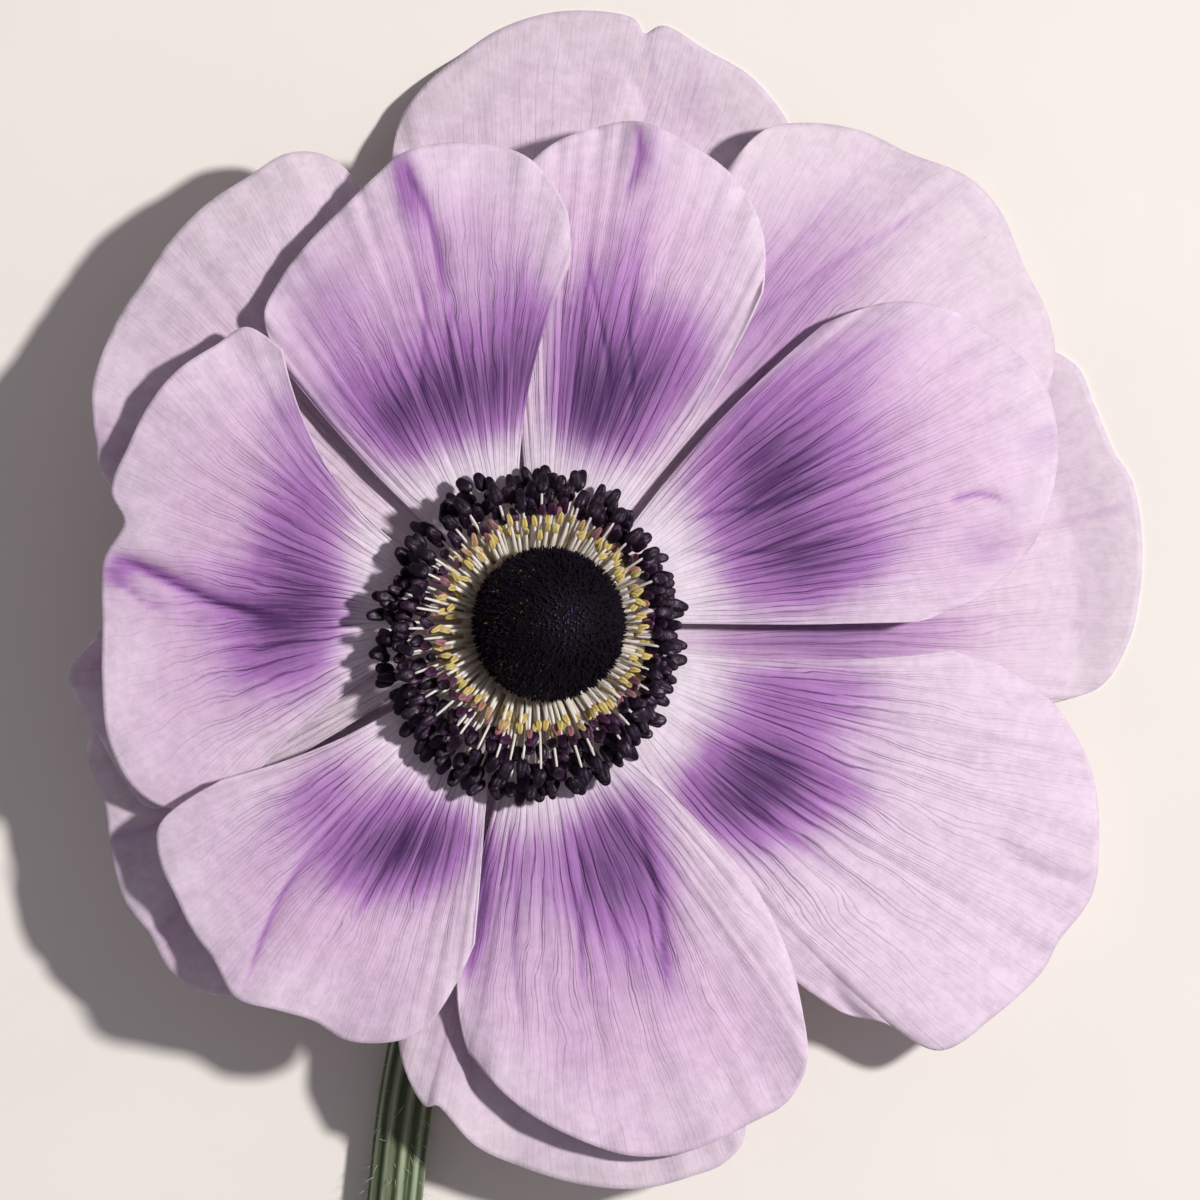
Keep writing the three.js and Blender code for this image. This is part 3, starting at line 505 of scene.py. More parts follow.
def relief(petal, across, along, x, y):
    """Furrows as sines of across, short waves near the rim, and for each crease a narrow trough with
    one side standing a little over the other."""
    seat = petal["seat"]
    furrows = FURROW_DEPTH * np.sin(across * 41 + seat + 1.5 * np.sin(along * 5 + across * 3))
    furrows += FINE_FURROW_DEPTH * np.sin(across * 67 + 2 * seat + 1.2 * np.sin(along * 7))
    height = furrows * eased_step(along, 0.12, 0.4) * (1 - 0.5 * eased_step(along, 0.7, 1))
    short = (np.sin(across * 19 + seat * 3) + 0.7 * np.sin(across * 33 + seat)
             + 0.5 * np.sin(across * 51))
    height += SHORT_WAVE * short * along ** 9
    rolling = (np.sin(x * 0.42 + seat) * np.sin(y * 0.37 + 2 * seat)
               + 0.5 * np.sin(x * 0.9 - y * 0.7 + seat))
    height += ROLLING * rolling * eased_step(along, 0.2, 0.6)
    for crease in petal["creases"]:
        aside, fading = beside(x, y, crease)
        depth, width = crease[4:6]
        trough = -depth * np.exp(-(aside / width) ** 2)
        step = 0.5 * depth * np.tanh(aside / width) * np.exp(-(aside / (5 * width)) ** 2)
        height += (trough + step) * fading
    return height


# %% [markdown]
# Colour is laid on in the same way. The deep violet lies in patches at a third of the length, a line
# of painted shade darkens each crease, and towards the claw the petal turns nearly white. The
# patches are soft, so numbers on the points are enough for them. The fine streaks and veins come
# later, in the material.

# %% Where the violet and the painted crease shade lie
def flush_and_shade_of(petal, x, y):
    """A sum of soft patches, each falling off as the square of the distance along and across the
    petal, and a line of painted shade in each crease."""
    heading = np.radians(petal["heading"])
    total = np.zeros_like(x)
    for px, py, long, wide, strength in petal["flushes_and_shades"]:
        direction = np.arctan2(py, px) * 0.5 + np.arctan2(np.sin(heading), np.cos(heading)) * 0.5
        if abs(np.arctan2(py, px) - np.arctan2(np.sin(heading), np.cos(heading))) > np.pi:
            direction += np.pi
        ahead = (x - px) * np.cos(direction) + (y - py) * np.sin(direction)
        aside = (y - py) * np.cos(direction) - (x - px) * np.sin(direction)
        far = (ahead / long) ** 2 + (aside / wide) ** 2
        total += strength * (0.94 * np.exp(-far) + 0.06 * np.exp(-far / 4))
    # Painted shade: a dark line along each crease, as strong as the crease's last number.
    for crease in petal["creases"]:
        aside, fading = beside(x, y, crease)
        total += crease[6] * np.exp(-(aside / (crease[5] * 0.55)) ** 2) * fading
    return total


# %% From blade to closed petal
ACROSS, ALONG = 112, 80
PETAL_THICKNESS, RIM_SHARE, RIM_WIDTH, USUAL_LENGTH = 0.34, 0.35, 1.5, 30


def petal_piece(name, petal, whorl, finish):
    """Two sheets half the thickness above and below the middle surface, thinner at the rim, and
    closed round the border."""
    across, along = np.meshgrid(
        np.linspace(-1, 1, ACROSS + 1), np.linspace(0, 1, ALONG + 1), indexing="ij")
    surface = blade(petal, whorl, across, along)
    x, y = surface[..., 0], surface[..., 1]
    surface[..., 2] += relief(petal, across, along, x, y)
    half_width = np.linalg.norm(surface[-1] - surface[0], axis=-1)[None, :] / 2
    to_rim = np.minimum((1 - along) * USUAL_LENGTH, (1 - np.abs(across)) * half_width)
    thickness = PETAL_THICKNESS * (RIM_SHARE + (1 - RIM_SHARE) * eased_step(to_rim, 0, RIM_WIDTH))
    surface[..., 2] = np.maximum(surface[..., 2], thickness / 2)
    normal = np.cross(np.gradient(surface, axis=1), np.gradient(surface, axis=0))
    normal /= np.linalg.norm(normal, axis=-1, keepdims=True)
    upper = surface + normal * thickness[..., None] / 2
    lower = surface - normal * thickness[..., None] / 2
    lower[..., 2] = np.maximum(lower[..., 2], 0)

    row, count = ALONG + 1, across.size
    a = (np.arange(ACROSS)[:, None] * row + np.arange(ALONG)).ravel()
    top = np.stack([a, a + 1, a + row + 1, a + row], 1)
    border = np.concatenate([np.arange(ALONG), np.arange(ACROSS) * row + ALONG,
                             ACROSS * row + np.arange(ALONG, 0, -1), np.arange(ACROSS, 0, -1) * row])
    onward = np.roll(border, -1)
    rim = np.stack([border, border + count, onward + count, onward], 1)
    points = np.concatenate([upper.reshape(-1, 3), lower.reshape(-1, 3)])
    both = lambda values: np.concatenate([values.ravel(), values.ravel()])
    # The flush mark holds the violet patches and the painted shade of the creases.
    marks = {
        "across": both(across), "along": both(along), "rimward": both(to_rim),
        "flush_and_shade": both(flush_and_shade_of(petal, x, y)), "radius": both(np.hypot(x, y)),
        "under": np.repeat([0.0, 1.0], count), "petal": np.full(2 * count, petal["seat"] * 0.37),
        "pale": np.full(2 * count, petal.get("pale", 0.0)),
    }
    return piece(name, points, [top, top[:, ::-1] + count, rim], finish, [name], marks,
                 flat_from=2 * len(top))


# %% [markdown]
# ## Petals: the finish
# A petal's skin is matt with a faint silk to it. Its colour is laid on in coats: a pale ground that
# is greyer at the rim, soft violet patches that break up into streaks and also carry the painted
# shade of the creases, the white of the claw, dark veins, and a painted highlight along the very
# edge. The veins leave the claw side by side and fan out with the blade. The distance to the
# nearest line of an uneven row of lines gives them. Each vein forks where that distance equals a
# number that grows on the way out: seen from the parent line, the forks are the two lines at that
# distance on either side.

# %% Petal finish
def petal_finish(name, ground, rim_colour, flush_colour, deep_colour, vein_colour, vein_share,
                 white_share):
    """Streaks and veins in the petal's own across and along, and from the mark on its points the violet
    patches with the painted shade of the creases.
    """
    finish, tree = new_finish(name)
    across, along, rimward, flush_and_shade, radius, under, seed, pale = stored(
        tree, "across", "along", "rimward", "flush_and_shade", "radius", "under", "petal", "pale")
    own = own_place(tree)

    def streaks(fine, coarse, detail):
        """Noise drawn out along the petal: fine across it, coarse along it."""
        place = node(tree, "ShaderNodeCombineXYZ", {0: across * fine, 1: along * coarse, 2: seed})
        return noise(Result(place), 1.0, detail, 0.6)

    fibres, bands = streaks(78.0, 5.0, 4.0), streaks(16.0, 2.2, 3.0)
    wander, wiggle = streaks(3.0, 2.5, 2.0), streaks(9.0, 13.0, 2.0)
    mottle, clouds = noise(own, 900.0, 5.0, 0.65), noise(own, 130.0, 3.0)

    lines = across * 15.0 + wander * 2.6 + wiggle * 0.34 + seed * 5.0
    from_line = Result(node(tree, "ShaderNodeTexVoronoi", {"W": lines, "Scale": 1.0},
                            voronoi_dimensions="1D", feature="DISTANCE_TO_EDGE"), "Distance")
    parent = (from_line / along.eased(0.05, 0.75, 0.18, 0.06)).eased(0.0, 1.0, 1.0, 0.0)
    fork = along * 0.75 + (bands * 0.5 - 0.52)
    child = (from_line - fork).math("ABSOLUTE").eased(0.0, 0.045, 1.0, 0.0) * fork.eased(0.0, 0.06)
    veins = parent.math("MAXIMUM", child * 0.75) * fibres.eased(0.34, 0.62, 0.35, 1.0)
    veins = veins * (along.eased(0.08, 0.36, 0.25, 1.0) * along.eased(0.45, 0.98, 1.0, 0.18))

    greyer = rimward.eased(0.0, 9.0, 1.0, 0.0) * clouds.eased(0.25, 0.75, 0.45, 1.0)
    depth = flush_and_shade * (bands * 0.7 + (fibres - 0.85) + 1.0) + (clouds * 0.30 - 0.15)
    claw = (bands * 4.5 + (fibres * 5.0 + radius) + flush_and_shade * 2.0).eased(16.8, 23.6, 1.0, 0.0)
    # Coats: ground, greyer rim, violet with the painted crease shade, white claw, veins, a painted
    # highlight on the last 0.35 mm before the edge, and the paler underside.
    colour = coated(
        ground, (greyer.math("MAXIMUM", pale), rim_colour), (depth.eased(0.0, 0.75), flush_colour),
        (depth.eased(0.55, 1.5), deep_colour), (claw * white_share, (244, 230, 244)),
        (veins * (flush_and_shade * 0.75 + vein_share), vein_colour),
        (rimward.eased(0.0, 0.35, 0.25, 0.0), (240, 226, 242)), (under * 0.45, (222, 208, 218)))
    skin(tree, {
        "Base Color": colour.scaled(mottle.eased(0.3, 0.7, 0.90, 1.06)),
        "Roughness": mottle.eased(0.3, 0.7, 0.52, 0.68), "Specular IOR Level": 0.35,
        "Sheen Weight": 0.25, "Sheen Roughness": 0.4, "Sheen Tint": (0.95, 0.9, 1.0, 1.0),
    }, fibres * 0.9 - veins * 0.9 + mottle * 0.8, 0.55, 0.00012)
    return finish


inner_finish = petal_finish("petal_lilac", (214, 182, 212), (222, 204, 221), (169, 114, 183),
                            (74, 34, 94), (76, 34, 90), 0.46, 0.95)
outer_finish = petal_finish("petal_pale", (214, 193, 211), (216, 200, 213), (184, 144, 190),
                            (120, 76, 140), (146, 106, 148), 0.30, 0.5)
print("petal finishes of", len(inner_finish.node_tree.nodes), "nodes")

# %% Make the petals
for name, petal in INNER_PETALS.items():
    petal_piece(name, petal, WHORLS["inner"], inner_finish)
for name, petal in OUTER_PETALS.items():
    petal_piece(name, petal, WHORLS["outer"], outer_finish)

# %% [markdown]
# ## Many small tubes at once
# Stamens, hairs, styles and leaf lobes are all tubes: a round section carried along a path. One
# function makes any number of them in one go, because all their points fit in one array with an
# axis for the tube, one for the slice and one for the place round the slice. The section may be
# wider than it is high, and it may carry a furrow, which is what an anther needs. The stem and the
# dome are single tubes whose points come from formulas of their own, so they share only the faces.

# %% Tubes
def unit(vectors):
    """Vectors of length one."""
    return vectors / np.maximum(np.linalg.norm(vectors, axis=-1, keepdims=True), 1e-12)


def around_axis(reach, turn, height):
    """Points at a reach from the upright axis, at an angle round it and at a height."""
    return np.stack(np.broadcast_arrays(reach * np.cos(turn), reach * np.sin(turn), height), -1)


def tube_faces(slices, sides):
    """Quads between the slices, and at each end a fan to one of two points that follow them all."""
    i, j = np.meshgrid(np.arange(slices - 1), np.arange(sides), indexing="ij")
    a, b = (i * sides + j).ravel(), (i * sides + (j + 1) % sides).ravel()
    j = np.arange(sides)
    k, last, size = (j + 1) % sides, (slices - 1) * sides, slices * sides
    fans = np.concatenate([np.stack([k, j, np.full(sides, size)], 1),
                           np.stack([last + j, last + k, np.full(sides, size + 1)], 1)])
    return [np.stack([a, b, b + sides, a + sides], 1), fans]


def closed_skin(ring):
    """One tube from the points of its slices, closed at the middle of each end."""
    points = np.concatenate([ring.reshape(-1, 3), ring[0].mean(0)[None], ring[-1].mean(0)[None]])
    return points, tube_faces(*ring.shape[:2])


def tubes(paths, wide, high, sides, furrow=0.0, upward=(0.0, 0.0, 1.0)):
    """paths is tubes x slices x 3. A slice is an ellipse of half-width wide and half-height high.
    Its height is cut by furrow where the section crosses its upper and lower middle. Both ends are
    closed at the path's end points. Gives the points and the faces, and each point's slice, as a
    share of the length, and angle."""
    count, slices = paths.shape[:2]
    ahead = unit(np.gradient(paths, axis=1))
    aside = unit(np.cross(np.broadcast_to(upward, ahead.shape), ahead))
    over = np.cross(ahead, aside)
    angle = 2 * np.pi * np.arange(sides) / sides
    cut = 1 - furrow * np.exp(-(np.cos(angle) / 0.38) ** 2)
    wide, high = np.broadcast_to(wide, paths.shape[:2]), np.broadcast_to(high, paths.shape[:2])
    ring = (paths[:, :, None] + aside[:, :, None] * (wide[..., None] * np.cos(angle))[..., None]
            + over[:, :, None] * (high[..., None] * np.sin(angle) * cut)[..., None])
    ends = np.stack([paths[:, 0], paths[:, -1]], 1)
    points = np.concatenate([ring.reshape(count, -1, 3), ends], 1)
    shift = (np.arange(count) * points.shape[1])[:, None, None]
    faces = [(part[None] + shift).reshape(-1, part.shape[1]) for part in tube_faces(slices, sides)]
    slice_share = np.concatenate([np.repeat(np.linspace(0, 1, slices), sides), [0, 1]])
    around = np.concatenate([np.tile(angle, slices), [0, 0]])
    return points.reshape(-1, 3), faces, np.tile(slice_share, count), np.tile(around, count)


# %% Joining and leaning
def joined(*parts):
    """Several sets of points and faces as one."""
    points = np.concatenate([part[0] for part in parts])
    shifts = np.cumsum([0] + [len(part[0]) for part in parts[:-1]])
    faces = [face + shift for part, shift in zip(parts, shifts) for face in part[1]]
    return points, faces


def leaned(points):
    """Turns the upright head about its pivot, towards the lean's azimuth."""
    axis = np.array([-np.sin(LEAN_AZIMUTH), np.cos(LEAN_AZIMUTH), 0.0])
    arm = np.asarray(points, float) - [0, 0, LEAN_PIVOT]
    turned = (arm * np.cos(LEAN) + np.cross(axis, arm) * np.sin(LEAN)
              + axis * (arm @ axis)[..., None] * (1 - np.cos(LEAN)))
    return turned + [0, 0, LEAN_PIVOT]


# %% [markdown]
# ## Stem
# The stem is a soft green rod with eleven low ribs. It lies on the table, bends up under the head
# and swells into the knob that carries the petals. A path through a few points and a radius for
# each distance from the top give its form. The ribs are a wave round the section, pale on their
# backs and dark in the furrows between, and short hairs stand out from them.

# %% The stem's path
STEM_LINE = [(-24, -142, 2.1), (-20, -115, 2.1), (-15.2, -85, 2.1), (-11.6, -52, 2.1),
             (-9.7, -36, 2.1), (-6.2, -22, 2.15), (-3.6, -13, 2.6), (-1.8, -6.4, 4.2), (-0.6, -2, 6.8)]
RECEPTACLE_HEIGHTS = [9.6, 12.0, 14.6]
# the stem's radius at distances from its top
KNOB = np.array([(0, 3.6), (1.95, 4), (2, 5.8), (2.9, 6.3), (3.9, 6), (5.3, 4.9), (6.7, 3.8),
                 (8.4, 2.7), (11, 2.25), (16, 2.2), (200, 2.2)])
STEM_RIBS, STEM_RIB_DEPTH = 11, 0.14


# %% A path through points
def path_through(points, steps):
    """Cubics between the points, with slopes weighed by the square roots of the steps' lengths, then
    spaced evenly. This kind of curve never overshoots where short and long steps meet."""
    points = np.asarray(points, float)
    points = np.concatenate([[2 * points[0] - points[1]], points, [2 * points[-1] - points[-2]]])
    pieces = []
    for k in range(1, len(points) - 2):
        p0, p1, p2, p3 = points[k - 1:k + 3]
        d0, d1, d2 = (np.linalg.norm(step) ** 0.5 for step in (p1 - p0, p2 - p1, p3 - p2))
        leave = ((p1 - p0) / d0 - (p2 - p0) / (d0 + d1) + (p2 - p1) / d1) * d1
        arrive = ((p2 - p1) / d1 - (p3 - p1) / (d1 + d2) + (p3 - p2) / d2) * d1
        t = np.linspace(0, 1, 60, endpoint=False)[:, None]
        pieces.append((2 * p1 - 2 * p2 + leave + arrive) * t ** 3
                      + (3 * p2 - 3 * p1 - 2 * leave - arrive) * t ** 2 + leave * t + p1)
    dense = np.concatenate(pieces + [points[-2:-1]])
    run = np.concatenate([[0], np.cumsum(np.linalg.norm(np.diff(dense, axis=0), axis=1))])
    even = run[-1] * steps
    return np.stack([np.interp(even, run, dense[:, axis]) for axis in range(3)], -1), run[-1]


# %% The stem's length
receptacle = leaned(np.array([[0, 0, height] for height in RECEPTACLE_HEIGHTS]))
stem_points = np.concatenate([STEM_LINE, receptacle])
_, stem_length = path_through(stem_points, np.array([0.0, 1.0]))
print("stem length", round(float(stem_length), 1), "mm")

# %% The stem's skin
STEM_SIDES = 132
STEM_END_ROUNDING = 0.35
stem_below = np.concatenate([
    [0, 0.6, 1.2, 1.9, 2.0], np.arange(2.1, 16, 0.25), np.arange(16, stem_length, 1.0),
    [stem_length - STEM_END_ROUNDING, stem_length - 0.1, stem_length]])
stem_path, _ = path_through(stem_points, 1 - stem_below / stem_length)
stem_ahead = unit(-np.gradient(stem_path, stem_below, axis=0))


def carried_side(ahead):
    """A sideways direction carried from slice to slice without twist, starting from X."""
    side, sides = np.array([1.0, 0, 0]), []
    for direction in ahead:
        side = side - direction * (side @ direction)
        side = side / np.linalg.norm(side)
        sides.append(side)
    return np.array(sides)


stem_side = carried_side(stem_ahead)
stem_up = np.cross(stem_side, stem_ahead)
stem_angle = 2 * np.pi * np.arange(STEM_SIDES) / STEM_SIDES
rib_depth = STEM_RIB_DEPTH * eased_step(stem_below, 4, 9)
knob_radius = np.interp(stem_below, KNOB[:, 0], KNOB[:, 1])
rounded_end = np.minimum(1, 0.93 + 0.07 * (stem_length - stem_below) / STEM_END_ROUNDING)
ribs = np.cos(STEM_RIBS * stem_angle)[None] - 0.35 * np.cos(2 * STEM_RIBS * stem_angle)[None]
unevenness = 0.05 * np.sin(stem_below * 0.21)[:, None] * np.cos(stem_angle * 2 + 1)[None]
stem_radius = (knob_radius[:, None] + rib_depth[:, None] * ribs * 0.8
               + unevenness * eased_step(stem_below, 8, 20)[:, None]) * rounded_end[:, None]
stem_ring = (stem_path[:, None] + stem_side[:, None] * (stem_radius * np.cos(stem_angle))[..., None]
             + stem_up[:, None] * (stem_radius * np.sin(stem_angle))[..., None])
stem_ring[..., 2] = np.maximum(stem_ring[..., 2], 0)
stem_skin = closed_skin(stem_ring)
print(len(stem_ring), "slices of", STEM_SIDES, "points")

# %% Hairs of the stem
HAIRS, HAIR_SIDES, HAIR_SEED = 1500, 3, 5
rng = np.random.default_rng(HAIR_SEED)
hair_slice = rng.integers(30, len(stem_below) - 8, HAIRS)
hair_angle = rng.integers(0, STEM_SIDES, HAIRS)
hair_root = stem_ring[hair_slice, hair_angle]
hair_out = unit(hair_root - stem_path[hair_slice])
kept = (hair_root[:, 2] > 1.2) & (hair_out[:, 2] > -0.3)
hair_root, hair_out, hair_ahead = hair_root[kept], hair_out[kept], stem_ahead[hair_slice[kept]]
hair_lie = unit(hair_out + 0.5 * rng.normal(size=hair_out.shape) - 0.5 * hair_ahead)
hair_steps = np.linspace(-0.08, 1, 4)[None, :, None]
hair_long = rng.uniform(0.45, 0.95, len(hair_root))[:, None, None]
hair_paths = (hair_root[:, None] + hair_lie[:, None] * hair_steps * hair_long
              - hair_ahead[:, None] * hair_steps ** 2 * 0.2)
hair_thick = np.array([0.028, 0.024, 0.017, 0.006])
hair_points, hair_faces, _, _ = tubes(hair_paths, hair_thick, hair_thick, HAIR_SIDES,
                                      upward=(0.31, 0.17, 0.93))
print(len(hair_root), "hairs")

# %% [markdown]
# The stem's finish follows its ribs, so it reads the place round the section that each point
# carries. Green is mixed with a paler, greyer green on the backs of the ribs, and it is paler still
# on the knob under the petals. The cut end shows pale pith with greener rings round it, and the
# hairs are nearly white.

# %% Stem finish
def stem_finish(name):
    """Green by rib, streaked lengthwise, with pith at the cut and a pale knob."""
    finish, tree = new_finish(name)
    rib, below, hairy, cut = stored(tree, "rib", "below", "hairy", "cut")
    own = own_place(tree)
    drawn = Result(node(tree, "ShaderNodeMapping", {"Vector": own, "Scale": (1.0, 0.12, 1.0)}))
    streak, patch = noise(drawn, 1500.0, 4.0), noise(own, 220.0, 3.0)
    share = rib * 0.5 + streak * 0.55
    pith = coated((214, 216, 178), (cut.eased(0.45, 0.62), (150, 168, 104)),
                  (cut.eased(0.80, 0.92), (112, 130, 74)))
    colour = coated(
        (58, 74, 40), (share.eased(0.05, 0.40), (98, 114, 78)),
        (share.eased(0.42, 0.85), (158, 168, 142)),
        (patch.eased(0.5, 0.75, 0.0, 0.35), (104, 108, 72)),
        (below.eased(2.0, 14.0, 0.75, 0.0), (168, 176, 128)),
        (below.eased(stem_length - 0.02, stem_length - 0.005), pith), (hairy, (222, 224, 212)))
    skin(tree, {"Base Color": colour, "Roughness": streak.eased(0.3, 0.7, 0.45, 0.62),
                "Subsurface Weight": 0.1, "Subsurface Radius": (0.6, 1.0, 0.4),
                "Subsurface Scale": 0.0006, "Sheen Weight": 0.15}, streak + patch)
    return finish


green_finish = stem_finish("stem_green")
stem_all, stem_faces = joined(stem_skin, (hair_points, hair_faces))
for_hairs = lambda value: np.full(len(hair_points), value)
rib_wave = np.broadcast_to(np.cos(STEM_RIBS * stem_angle), stem_ring.shape[:2]).ravel()
piece("stem", stem_all, stem_faces, green_finish, ["stem"], {
    "rib": np.concatenate([rib_wave, [0, 0], for_hairs(0)]),
    "below": np.concatenate([np.repeat(stem_below, STEM_SIDES), [0, stem_length], for_hairs(40)]),
    "hairy": np.concatenate([np.zeros(len(stem_skin[0])), for_hairs(0.85)]),
    "cut": np.concatenate([np.ones(len(rib_wave)), [0, 0], for_hairs(1)])})

# %% [markdown]
# ## Dome
# In the middle stands a cushion of carpels, so dark that only its fuzz shows. Its edge against the
# white filaments is soft, because every carpel ends in a little style. A plain dome would give a
# hard edge, so over two thousand short tapered styles stand on it, placed by the golden angle,
# which is how plants place them.

# %% Dome
DOME_X, DOME_RADIUS, DOME_MIDDLE, DOME_CROWN = 0.4, 6.15, 18.4, 4.8
FOOT_DROP, FOOT_DEPTH = 4.5, 3.2
DOME_SLICES, DOME_SIDES = 60, 120
dome_lift = np.linspace(-np.arcsin(FOOT_DEPTH / FOOT_DROP), 1.5, DOME_SLICES)[:, None]
dome_angle = (2 * np.pi * np.arange(DOME_SIDES) / DOME_SIDES)[None]
dome_rough = 0.05 * np.sin(dome_angle * 23 + dome_lift * 9) * np.sin(dome_lift * 31)
dome_reach = ((DOME_RADIUS - 0.25) * np.cos(dome_lift) * (1 + 0.02 * np.sin(3 * dome_angle + 1))
              + dome_rough)
dome_height = DOME_MIDDLE + np.sin(dome_lift) * np.where(dome_lift < 0, FOOT_DROP, DOME_CROWN - 0.3)
dome_ring = around_axis(dome_reach, dome_angle, dome_height) + [DOME_X, 0, 0]
dome_skin = closed_skin(leaned(dome_ring))

# %% Styles
STYLES, STYLE_SIDES, GOLDEN_ANGLE = 2400, 5, 2.399963
order = np.arange(STYLES)
style_lift = np.arcsin(np.clip(1 - 1.28 * (order + 0.5) / STYLES, -0.3, 1))
style_turn = order * GOLDEN_ANGLE + 0.15 * rng.normal(size=STYLES)
style_out = around_axis(np.cos(style_lift), style_turn, np.sin(style_lift))
style_rise = np.where(style_lift < 0, FOOT_DROP, DOME_CROWN - 0.35)
style_wide = np.full(STYLES, DOME_RADIUS - 0.35)
style_root = [DOME_X, 0, DOME_MIDDLE] + style_out * np.stack([style_wide, style_wide, style_rise], 1)
style_lie = unit(style_out + [0, 0, 0.25] + 0.28 * rng.normal(size=style_out.shape))
style_steps = np.array([0.0, 0.35, 0.7, 1.0])[None, :, None]
style_long = rng.uniform(0.32, 0.60, STYLES)[:, None, None]
style_paths = style_root[:, None] + style_lie[:, None] * style_steps * style_long
style_thick = np.array([0.10, 0.085, 0.06, 0.03])[None] * rng.uniform(0.8, 1.15, (STYLES, 1))
style_points, style_faces, style_share, _ = tubes(
    leaned(style_paths), style_thick, style_thick, STYLE_SIDES, upward=(0.37, 0.19, 0.53))
print(STYLES, "styles on a dome of", len(dome_skin[0]), "points")

# %% Dome finish
dome_finish, tree = new_finish("dome_violet")
own = own_place(tree)
crown_highlight, tip, dusty = stored(tree, "crown_highlight", "tip", "dusty")
pollen = (cells(own, 2600.0).eased(0.16, 0.30, 1.0, 0.0) * noise(own, 420.0, 2.0).eased(0.46, 0.60)
          * dusty)
# The pale violet on the style tips round the top of the dome is a painted highlight.
skin(tree, {
    "Base Color": coated((6, 2, 8), (tip, (20, 8, 26)), (crown_highlight * tip.eased(0.1, 0.9), (98, 80, 128)),
                         (pollen, (92, 92, 38))),
    "Roughness": 0.75, "Sheen Weight": 0.03, "Sheen Roughness": 0.5,
    "Sheen Tint": (0.6, 0.4, 0.75, 1.0), "Specular IOR Level": 0.12})

dome_all, dome_faces = joined(dome_skin, (style_points, style_faces))
crown_place = leaned(np.array([[DOME_X + 0.9, 0.2, DOME_MIDDLE + DOME_CROWN]]))[0]
crown_distance = np.linalg.norm(dome_all - crown_place, axis=1)
piece("pistil_dome", dome_all, dome_faces, dome_finish, ["pistil_dome"], {
    "tip": np.concatenate([np.zeros(len(dome_skin[0])), style_share]),
    # painted highlight round the dome's top, fading over 1.6 mm
    "crown_highlight": np.exp(-(crown_distance / 1.6) ** 2),
    "dusty": eased_step(crown_distance, 1.0, 2.6) * eased_step(2.2 - dome_all[:, 0], 0, 2.4)})

# %% [markdown]
# ## Stamens
# Round the dome stand some five hundred stamens. Each is a thin white filament with an anther at
# its top, a bean of two lobes with a slit between. The outermost ones are ripe and violet-black.
# Further in they are plum, then pinkish brown, and those that lean against the dome are still
# yellow. They crowd so that no two lie alike, but they all rise from a low collar. A list of rows
# gives the reach, height and number of each ring, and a fixed seed gives the disorder. The ring
# isn't quite even either: the lower stamens sprawl further out and stand closer together.

# %% Rows of stamens
# reach, height, number, shift towards +X, steepness of the anther, its length, half-width and age
OUTER_ROWS = [
    (11.5, 14.6, 54, -0.4, 0.05, 1.85, 0.50, 1.0), (11.1, 15.1, 58, -0.3, 0.20, 1.85, 0.50, 1.0),
    (10.6, 15.6, 58, -0.3, 0.35, 1.80, 0.49, 1.0), (10.1, 16.0, 56, -0.2, 0.50, 1.75, 0.48, 0.96),
    (9.6, 16.4, 52, -0.1, 0.60, 1.65, 0.46, 0.90), (9.1, 16.7, 46, 0.0, 0.75, 1.50, 0.40, 0.74),
    (10.5, 17.9, 38, -0.3, -0.10, 1.70, 0.46, 0.94)]
INNER_ROWS = [
    (8.6, 16.8, 44, 0.1, 0.45, 1.25, 0.29, 0.44), (8.1, 17.0, 52, 0.1, 0.35, 1.15, 0.25, 0.15),
    (7.7, 16.8, 60, 0.1, 0.30, 1.05, 0.22, 0.03)]
CROWDED_AT, CROWDING = np.radians(262), 0.24
# each sprawl: its direction in degrees, how much further it reaches, and how narrow it is
SPRAWLS = [(250, 1.2, 1), (292, 0.8, 3), (352, -0.8, 1)]


# %% From rows to stamens
def stamens(rows, collar_reach, collar_height, seed, spread):
    """Each stamen's root, neck, anther axis, anther length and half-width, and age, as columns.
    spread is the share of the ring's unevenness."""
    rng = np.random.default_rng(seed)
    found = []
    for reach, height, number, shift, steep, long, half, age in rows:
        turn = (2 * np.pi * (np.arange(number) + rng.uniform(-0.38, 0.38, number)) / number
                + rng.uniform(0, 1))
        turn = turn - CROWDING * np.sin(turn - CROWDED_AT) * spread
        out = around_axis(1, turn, 0)
        root = (out * (collar_reach + rng.uniform(-0.5, 0.3, number))[:, None]
                + [0, 0, collar_height])
        further = sum(far * np.clip(np.cos(turn - np.radians(where)), 0, 1) ** narrow
                      for where, far, narrow in SPRAWLS)
        further = further * spread * np.clip(reach / 2 - 4.5, 0.25, 1)
        neck = out * (reach + further - 0.25 + rng.normal(0, 0.28, number))[:, None]
        neck = neck + around_axis(shift, np.zeros(number), height + rng.normal(0, 0.3, number))
        rise = steep + rng.normal(0, 0.28, number)
        axis = out * np.cos(rise)[:, None] + [0, 0, 1] * np.sin(rise)[:, None]
        axis = unit(axis + rng.normal(0, 0.26, (number, 3)))
        found.append(np.column_stack([
            root, neck, axis, long * rng.uniform(0.82, 1.12, number),
            half * rng.uniform(0.85, 1.15, number),
            np.clip(age + rng.normal(0, 0.09, number), 0, 1)]))
    return np.concatenate(found)


# %% Filaments and anthers
def filament_paths(stamen, slices):
    """From the root straight up at first, then bending out to the neck."""
    root, neck = stamen[:, :3], stamen[:, 3:6]
    t = np.linspace(0, 1, slices)[None, :, None]
    bend = root * [0.55, 0.55, 0.25] + neck * [0.45, 0.45, 0.75]
    return root[:, None] * (1 - t) ** 2 + bend[:, None] * 2 * t * (1 - t) + neck[:, None] * t ** 2


